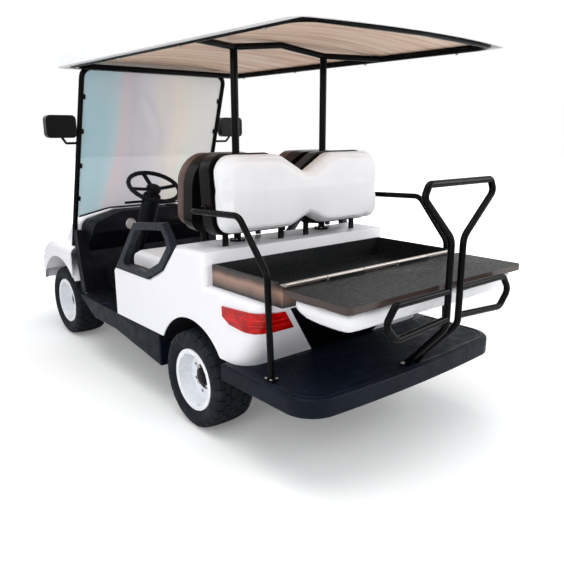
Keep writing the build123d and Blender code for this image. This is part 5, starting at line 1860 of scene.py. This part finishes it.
@dataclass
class CargoBed(Assembly):
    """The fixed tray, the flip-over deck and the hinge between them."""

    tray_edge: float = 0.0025
    deck_edge: float = 0.004
    wall: float = 0.004
    rear_wall: float = 0.002
    knuckles: float = 0.0175
    trim: float = 0.03
    steep: float = 0.5
    screw_pitch: float = 0.088
    screw_margin: float = 0.04
    screw_in: float = 0.011
    screw_z: float = 0.7723
    screw: Outline = ((0.0, 0.0042), (0.0007, 0.0042), (0.0016, 0.0032), (0.0019, 0.0012))
    lip: float = 0.0032
    lip_in: float = 0.0045
    lip_corner: float = 0.02
    lip_end: float = 0.03

    def build(self) -> None:
        """Build the bed."""
        tray = self.shop.soften("cargo_tray", self.tray_edge, Look.TRAY_SIDE)
        self.two_tone(tray)
        deck = self.shop.soften("flip_deck", self.deck_edge, Look.BED)
        self.edge_tone(deck)
        self.shop.dress(Look.HINGE, "hinge_strip")
        self.screws()
        self.rolled_lip()

    def two_tone(self, tray: bpy.types.Object) -> None:
        """Give the tray's inside the bed surface and leave its outer sides brown, with their painted shade
        and highlight bands.

        Args:
            tray: the tray.
        """
        low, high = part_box("cargo_tray")

        def inside(face: bpy.types.MeshPolygon) -> int:
            """Tell the tray's inside from its outer sides.

            Args:
                face: a face of the tray.

            Returns:
                1 on the inside, 0 on the outer sides.
            """
            x, y = face.center.x, face.center.y
            between = low.x + self.wall < x < high.x - self.wall
            return int(between and low.y + self.wall < y < high.y - self.rear_wall)

        self.shop.tone(tray.data, (Look.TRAY_SIDE, Look.BED), inside)

    def edge_tone(self, deck: bpy.types.Object) -> None:
        """Give the deck's outer edge its brown trim and its knuckles bright metal.

        Args:
            deck: the deck.
        """
        low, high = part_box("flip_deck")

        def place(face: bpy.types.MeshPolygon) -> int:
            """Tell the deck's knuckles and outer edge from its bed.

            Args:
                face: a face of the deck.

            Returns:
                2 on the knuckles, 1 on the outer edge, 0 elsewhere.
            """
            if face.center.y < low.y + self.knuckles:
                return 2
            outer = abs(face.center.x) > high.x - self.trim or face.center.y > high.y - self.trim
            return int(abs(face.normal.z) < self.steep and outer)

        self.shop.tone(deck.data, (Look.BED, Look.BED_EDGE, Look.HINGE), place)

    def screws(self) -> None:
        """Screw the hinge leaf down."""
        low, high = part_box("hinge_strip")
        count = int((high.x - low.x - self.screw_margin) / self.screw_pitch)
        parts = []
        for step in range(count + 1):
            x = -count * self.screw_pitch / 2 + step * self.screw_pitch
            at = turned((x, low.y + self.screw_in, self.screw_z), -90, "Y")
            parts.append(moved(lathe(self.screw, 16), at))
        self.shop.add("hinge_screws", Look.BRIGHT, *parts)

    def rolled_lip(self) -> None:
        """Run a rolled lip round the tray's top edge."""
        low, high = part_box("cargo_tray")
        z, turn = high.z - self.lip, self.lip_corner
        x, front, rear = high.x - self.lip_in, low.y + self.lip_in + turn, high.y - self.lip_end
        line = [Vector((x, rear, z)), Vector((x, front, z))]
        line += arc((x - turn, front, z), turn, 0, -90, 6)
        line += arc((turn - x, front, z), turn, -90, -180, 6)
        line += [Vector((-x, front, z)), Vector((-x, rear, z))]
        self.shop.add("tray_lip", Look.SHELL, tube(line, self.lip))


@dataclass
class RearStep(Assembly):
    """The footplate with its ribbed tread, the arm rails and the grab bar."""

    plate_edge: float = 0.006
    half: float = 0.6
    corner: float = 0.13
    rear: float = 1.38
    bow: float = 0.028
    top: float = 0.398
    inset: float = 0.045
    pitch: float = 0.017
    front_rib: float = 1.0
    scan: float = 0.004
    shortest: float = 0.02
    rib_half: float = 0.0032
    rib_sink: float = 0.001
    rib_rise: float = 0.0022
    rib_edge: float = 0.0014
    rail_foot: tuple[float, float] = (0.554, 1.125)
    rail_clear: float = 0.036
    bar_foot: tuple[float, float] = (0.028, 1.35)
    bar_clear: float = 0.032
    rim_in: float = 0.022
    rim_ends: tuple[float, ...] = (0.99, 1.08, 1.17)
    rim_steps: int = 36
    rim_hold: float = 0.9999
    rim: float = 0.006
    rim_flat: float = 0.6
    flange: float = 0.4066
    foot_circle: float = 0.0205
    foot_bolt: float = 0.0042
    bar_bolt_at: tuple[float, float] = (0.05, 1.352)
    bar_bolt: float = 0.0075
    weld_z: float = 0.407
    weld_circle: float = 0.0142
    weld: float = 0.0026
    root: tuple[float, float] = (0.5883, 0.998)
    root_gap: float = 0.0003
    plug: Outline = ((0.0, 0.0205), (0.003, 0.021), (0.007, 0.019), (0.009, 0.0145))

    def edge_y(self, x: float, inset: float) -> float:
        """The plate's rear edge at an x, set in by a distance.

        Args:
            x: distance from the middle.
            inset: how far inside the edge.

        Returns:
            The y, or a low value outside the plate.
        """
        half = self.half - inset
        if abs(x) > half:
            return -1.0
        rear = self.rear + self.bow * (1 - (x / self.half) ** 2) - inset
        over = abs(x) - (self.half - self.corner)
        if over > 0:
            radius = self.corner - inset
            rear -= radius - math.sqrt(max(0.0, radius ** 2 - over ** 2))
        return rear

    def build(self) -> None:
        """Build the rear step."""
        self.shop.soften("footplate", self.plate_edge, Look.STEP)
        self.shop.dress(Look.TUBE, "arm_rails", "grab_bar")
        self.tread()
        self.raised_rim()
        self.bolts()
        self.caps()

    def clear(self, x: float, y: float) -> bool:
        """Whether a place on the plate is inside its rim and clear of the feet.

        Args:
            x: distance from the middle.
            y: the place along the cart.

        Returns:
            True where a rib may run.
        """
        feet = ((*self.rail_foot, self.rail_clear), (*self.bar_foot, self.bar_clear))
        free = all(math.hypot(abs(x) - foot_x, y - foot_y) > gap for foot_x, foot_y, gap in feet)
        return free and y < self.edge_y(x, self.inset)

    def tread(self) -> None:
        """Rib the plate's top inside its rim."""
        parts = []
        y = self.front_rib
        while y < self.rear + self.bow - self.inset:
            start = None
            x = -self.half
            while x <= self.half + self.scan:
                free = self.clear(x, y)
                if free and start is None:
                    start = x
                if not free and start is not None:
                    if x - start > self.shortest:
                        low = (start, y - self.rib_half, self.top - self.rib_sink)
                        high = (x - self.scan, y + self.rib_half, self.top + self.rib_rise)
                        parts.append(rounded_bar(low, high, self.rib_edge, 1))
                    start = None
                x += self.scan
            y += self.pitch
        self.shop.add("step_ribs", Look.STEP, *parts)

    def raised_rim(self) -> None:
        """Raise a rounded rim round the plate's edge."""
        reach = self.half - self.rim_in
        line = [Vector((reach, y, self.top)) for y in self.rim_ends]
        for step in range(self.rim_steps + 1):
            x = reach * math.cos(math.pi * step / self.rim_steps)
            line.append(Vector((x, self.edge_y(x * self.rim_hold, self.rim_in), self.top)))
        line += [Vector((-reach, y, self.top)) for y in reversed(self.rim_ends)]
        self.shop.add("step_rim", Look.STEP, tube(line, self.rim, flat=self.rim_flat))

    def bolts(self) -> None:
        """Bolt and weld the rails' feet, and bolt down the grab bar's."""
        up = Vector((0, 0, 1))
        bolts, welds = [], []
        for side in Side:
            x, y = side.value * self.rail_foot[0], self.rail_foot[1]
            for out, back in bolt_circle(self.foot_circle):
                bolts.append(bolt((x + out, y + back, self.flange), up, self.foot_bolt))
            bar_x, bar_y = self.bar_bolt_at
            bolts.append(bolt((side.value * bar_x, bar_y, self.flange), up, self.bar_bolt))
            welds.append(tube(circle((x, y, self.weld_z), self.weld_circle, 28), self.weld, True, 8))
        self.shop.add("step_bolts", Look.BRIGHT, *bolts)
        self.shop.add("foot_welds", Look.TUBE, *welds)

    def caps(self) -> None:
        """Plug the rails' roots at the backrest."""
        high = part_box("backrest_shells")[1]
        parts = []
        for side in Side:
            at = Matrix.Translation((side.value * (high.x + self.root_gap), *self.root)) @ side.mirror
            parts.append(moved(lathe(self.plug, 28), at))
        self.shop.add("rail_roots", Look.SHELL, *parts)


# ---- studio ------------------------------------------------------------------------------


@dataclass
class Studio:
    """Floor, world, lamps and camera, whose focal length is in pixels of its frame."""

    eye: Point = (1.916, 2.810, 1.320)
    yaw: float = 40.05
    pitch: float = 14.22
    roll: float = -0.18
    focal: float = 606.76
    frame_height: float = 572.0
    sensor: float = 36.0
    far: float = 100.0
    floor_half: float = 30.0
    floor_colour: Colour = (0.93, 0.93, 0.93)
    floor_lift: float = 0.13
    lift_start: float = 2.0
    lift_end: float = 4.5
    surround: Colour = (0.96, 0.98, 1.0)
    surround_strength: float = 0.56
    aim: Point = (0, 0, 0.6)

    def camera(self) -> None:
        """Set the camera at the viewing angle."""
        data = bpy.data.cameras.new("view")
        data.sensor_width = self.sensor
        data.lens = self.sensor * self.focal / self.frame_height
        data.clip_end = self.far
        eye = bpy.data.objects.new("view", data)
        yaw, pitch = math.radians(self.yaw), math.radians(self.pitch)
        level = math.cos(pitch)
        ahead = Vector((-math.sin(yaw) * level, -math.cos(yaw) * level, -math.sin(pitch)))
        tilt = Matrix.Rotation(math.radians(self.roll), 3, "Z").to_quaternion()
        eye.rotation_euler = (ahead.to_track_quat("-Z", "Y") @ tilt).to_euler()
        eye.location = self.eye
        bpy.context.scene.collection.objects.link(eye)
        bpy.context.scene.camera = eye

    def floor(self) -> None:
        """Lay the pale floor, which fades to white in the camera's eye away from the cart."""
        data = bpy.data.meshes.new("floor")
        size = self.floor_half
        data.from_pydata([(-size, -size, 0), (size, -size, 0), (size, size, 0), (-size, size, 0)], [],
                         [(0, 1, 2, 3)])
        floor = bpy.data.objects.new("floor", data)
        bpy.context.scene.collection.objects.link(floor)
        material = bpy.data.materials.new("floor_pale")
        material.use_nodes = True
        tree = material.node_tree
        tree.nodes.clear()
        out = wired(tree, "ShaderNodeOutputMaterial")
        matt = wired(tree, "ShaderNodeBsdfDiffuse", {"Color": (*self.floor_colour, 1)})
        place = wired(tree, "ShaderNodeTexCoord")
        away = wired(tree, "ShaderNodeVectorMath", feeds={0: place.outputs["Object"]}, operation="LENGTH")
        ends = {"From Min": self.lift_start, "From Max": self.lift_end,
                "To Min": self.floor_lift, "To Max": 1.0}
        lift = wired(tree, "ShaderNodeMapRange", ends, {"Value": away.outputs["Value"]})
        path = wired(tree, "ShaderNodeLightPath")
        seen = {0: path.outputs["Is Camera Ray"], 1: lift.outputs["Result"]}
        share = wired(tree, "ShaderNodeMath", feeds=seen, operation="MULTIPLY")
        glow = wired(tree, "ShaderNodeEmission", {"Color": WHITE}, {"Strength": share.outputs[0]})
        both = wired(tree, "ShaderNodeAddShader", feeds={0: matt.outputs[0], 1: glow.outputs[0]})
        tree.links.new(both.outputs[0], out.inputs["Surface"])
        data.materials.append(material)

    def world(self) -> None:
        """Set the soft surround, white where the camera, gloss or glass sees it."""
        world = bpy.data.worlds.new("surround")
        world.use_nodes = True
        tree = world.node_tree
        tree.nodes.clear()
        out = wired(tree, "ShaderNodeOutputWorld")
        plain = {"Color": (*self.surround, 1), "Strength": self.surround_strength}
        soft = wired(tree, "ShaderNodeBackground", plain)
        white = wired(tree, "ShaderNodeBackground", {"Color": WHITE})
        path = wired(tree, "ShaderNodeLightPath")
        seen = path.outputs["Is Camera Ray"]
        for ray in ("Is Glossy Ray", "Is Transmission Ray"):
            rays = {0: seen, 1: path.outputs[ray]}
            seen = wired(tree, "ShaderNodeMath", feeds=rays, operation="MAXIMUM").outputs[0]
        glows = {"Fac": seen, 1: soft.outputs[0], 2: white.outputs[0]}
        both = wired(tree, "ShaderNodeMixShader", feeds=glows)
        tree.links.new(both.outputs[0], out.inputs["Surface"])
        bpy.context.scene.world = world

    def lamp(self, name: str, place: Point, power: float, size: float) -> None:
        """Hang a soft lamp that points at the cart.

        Args:
            name: its name.
            place: where it hangs.
            power: in watts.
            size: its side.
        """
        data = bpy.data.lights.new(name, "AREA")
        data.energy = power
        data.size = size
        lamp = bpy.data.objects.new(name, data)
        lamp.location = place
        lamp.rotation_euler = (Vector(self.aim) - Vector(place)).to_track_quat("-Z", "Y").to_euler()
        bpy.context.scene.collection.objects.link(lamp)

    def build(self) -> None:
        """Build the studio."""
        self.camera()
        self.floor()
        self.world()
        self.lamp("over", (0.6, 0.8, 4.6), power=142.0, size=3.6)
        self.lamp("left_rear", (4.2, 2.6, 2.6), power=62.0, size=2.6)
        self.lamp("right_rear", (-3.0, 4.0, 2.4), power=92.0, size=2.4)
        self.lamp("front", (0.4, -5.0, 2.6), power=26.0, size=2.6)
        bpy.context.scene.view_settings.view_transform = "Standard"


def main() -> None:
    """Build the cart's looks in order, logging each assembly and the count of pieces."""
    logging.basicConfig(level=logging.INFO, format="%(message)s")
    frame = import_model()
    shop = Workshop(frame)
    wheels = [Wheel(shop, end, side) for end in End for side in Side]
    kinds = (RunningGear, Bodywork, Roof, Windscreen, Cabin, Seats, CargoBed, RearStep)
    for assembly in (*wheels, *(kind(shop) for kind in kinds)):
        assembly.build()
        LOG.info("%s done", type(assembly).__name__)
    Studio().build()
    LOG.info("%d pieces", shop.count)


if __name__ == "__main__":
    main()
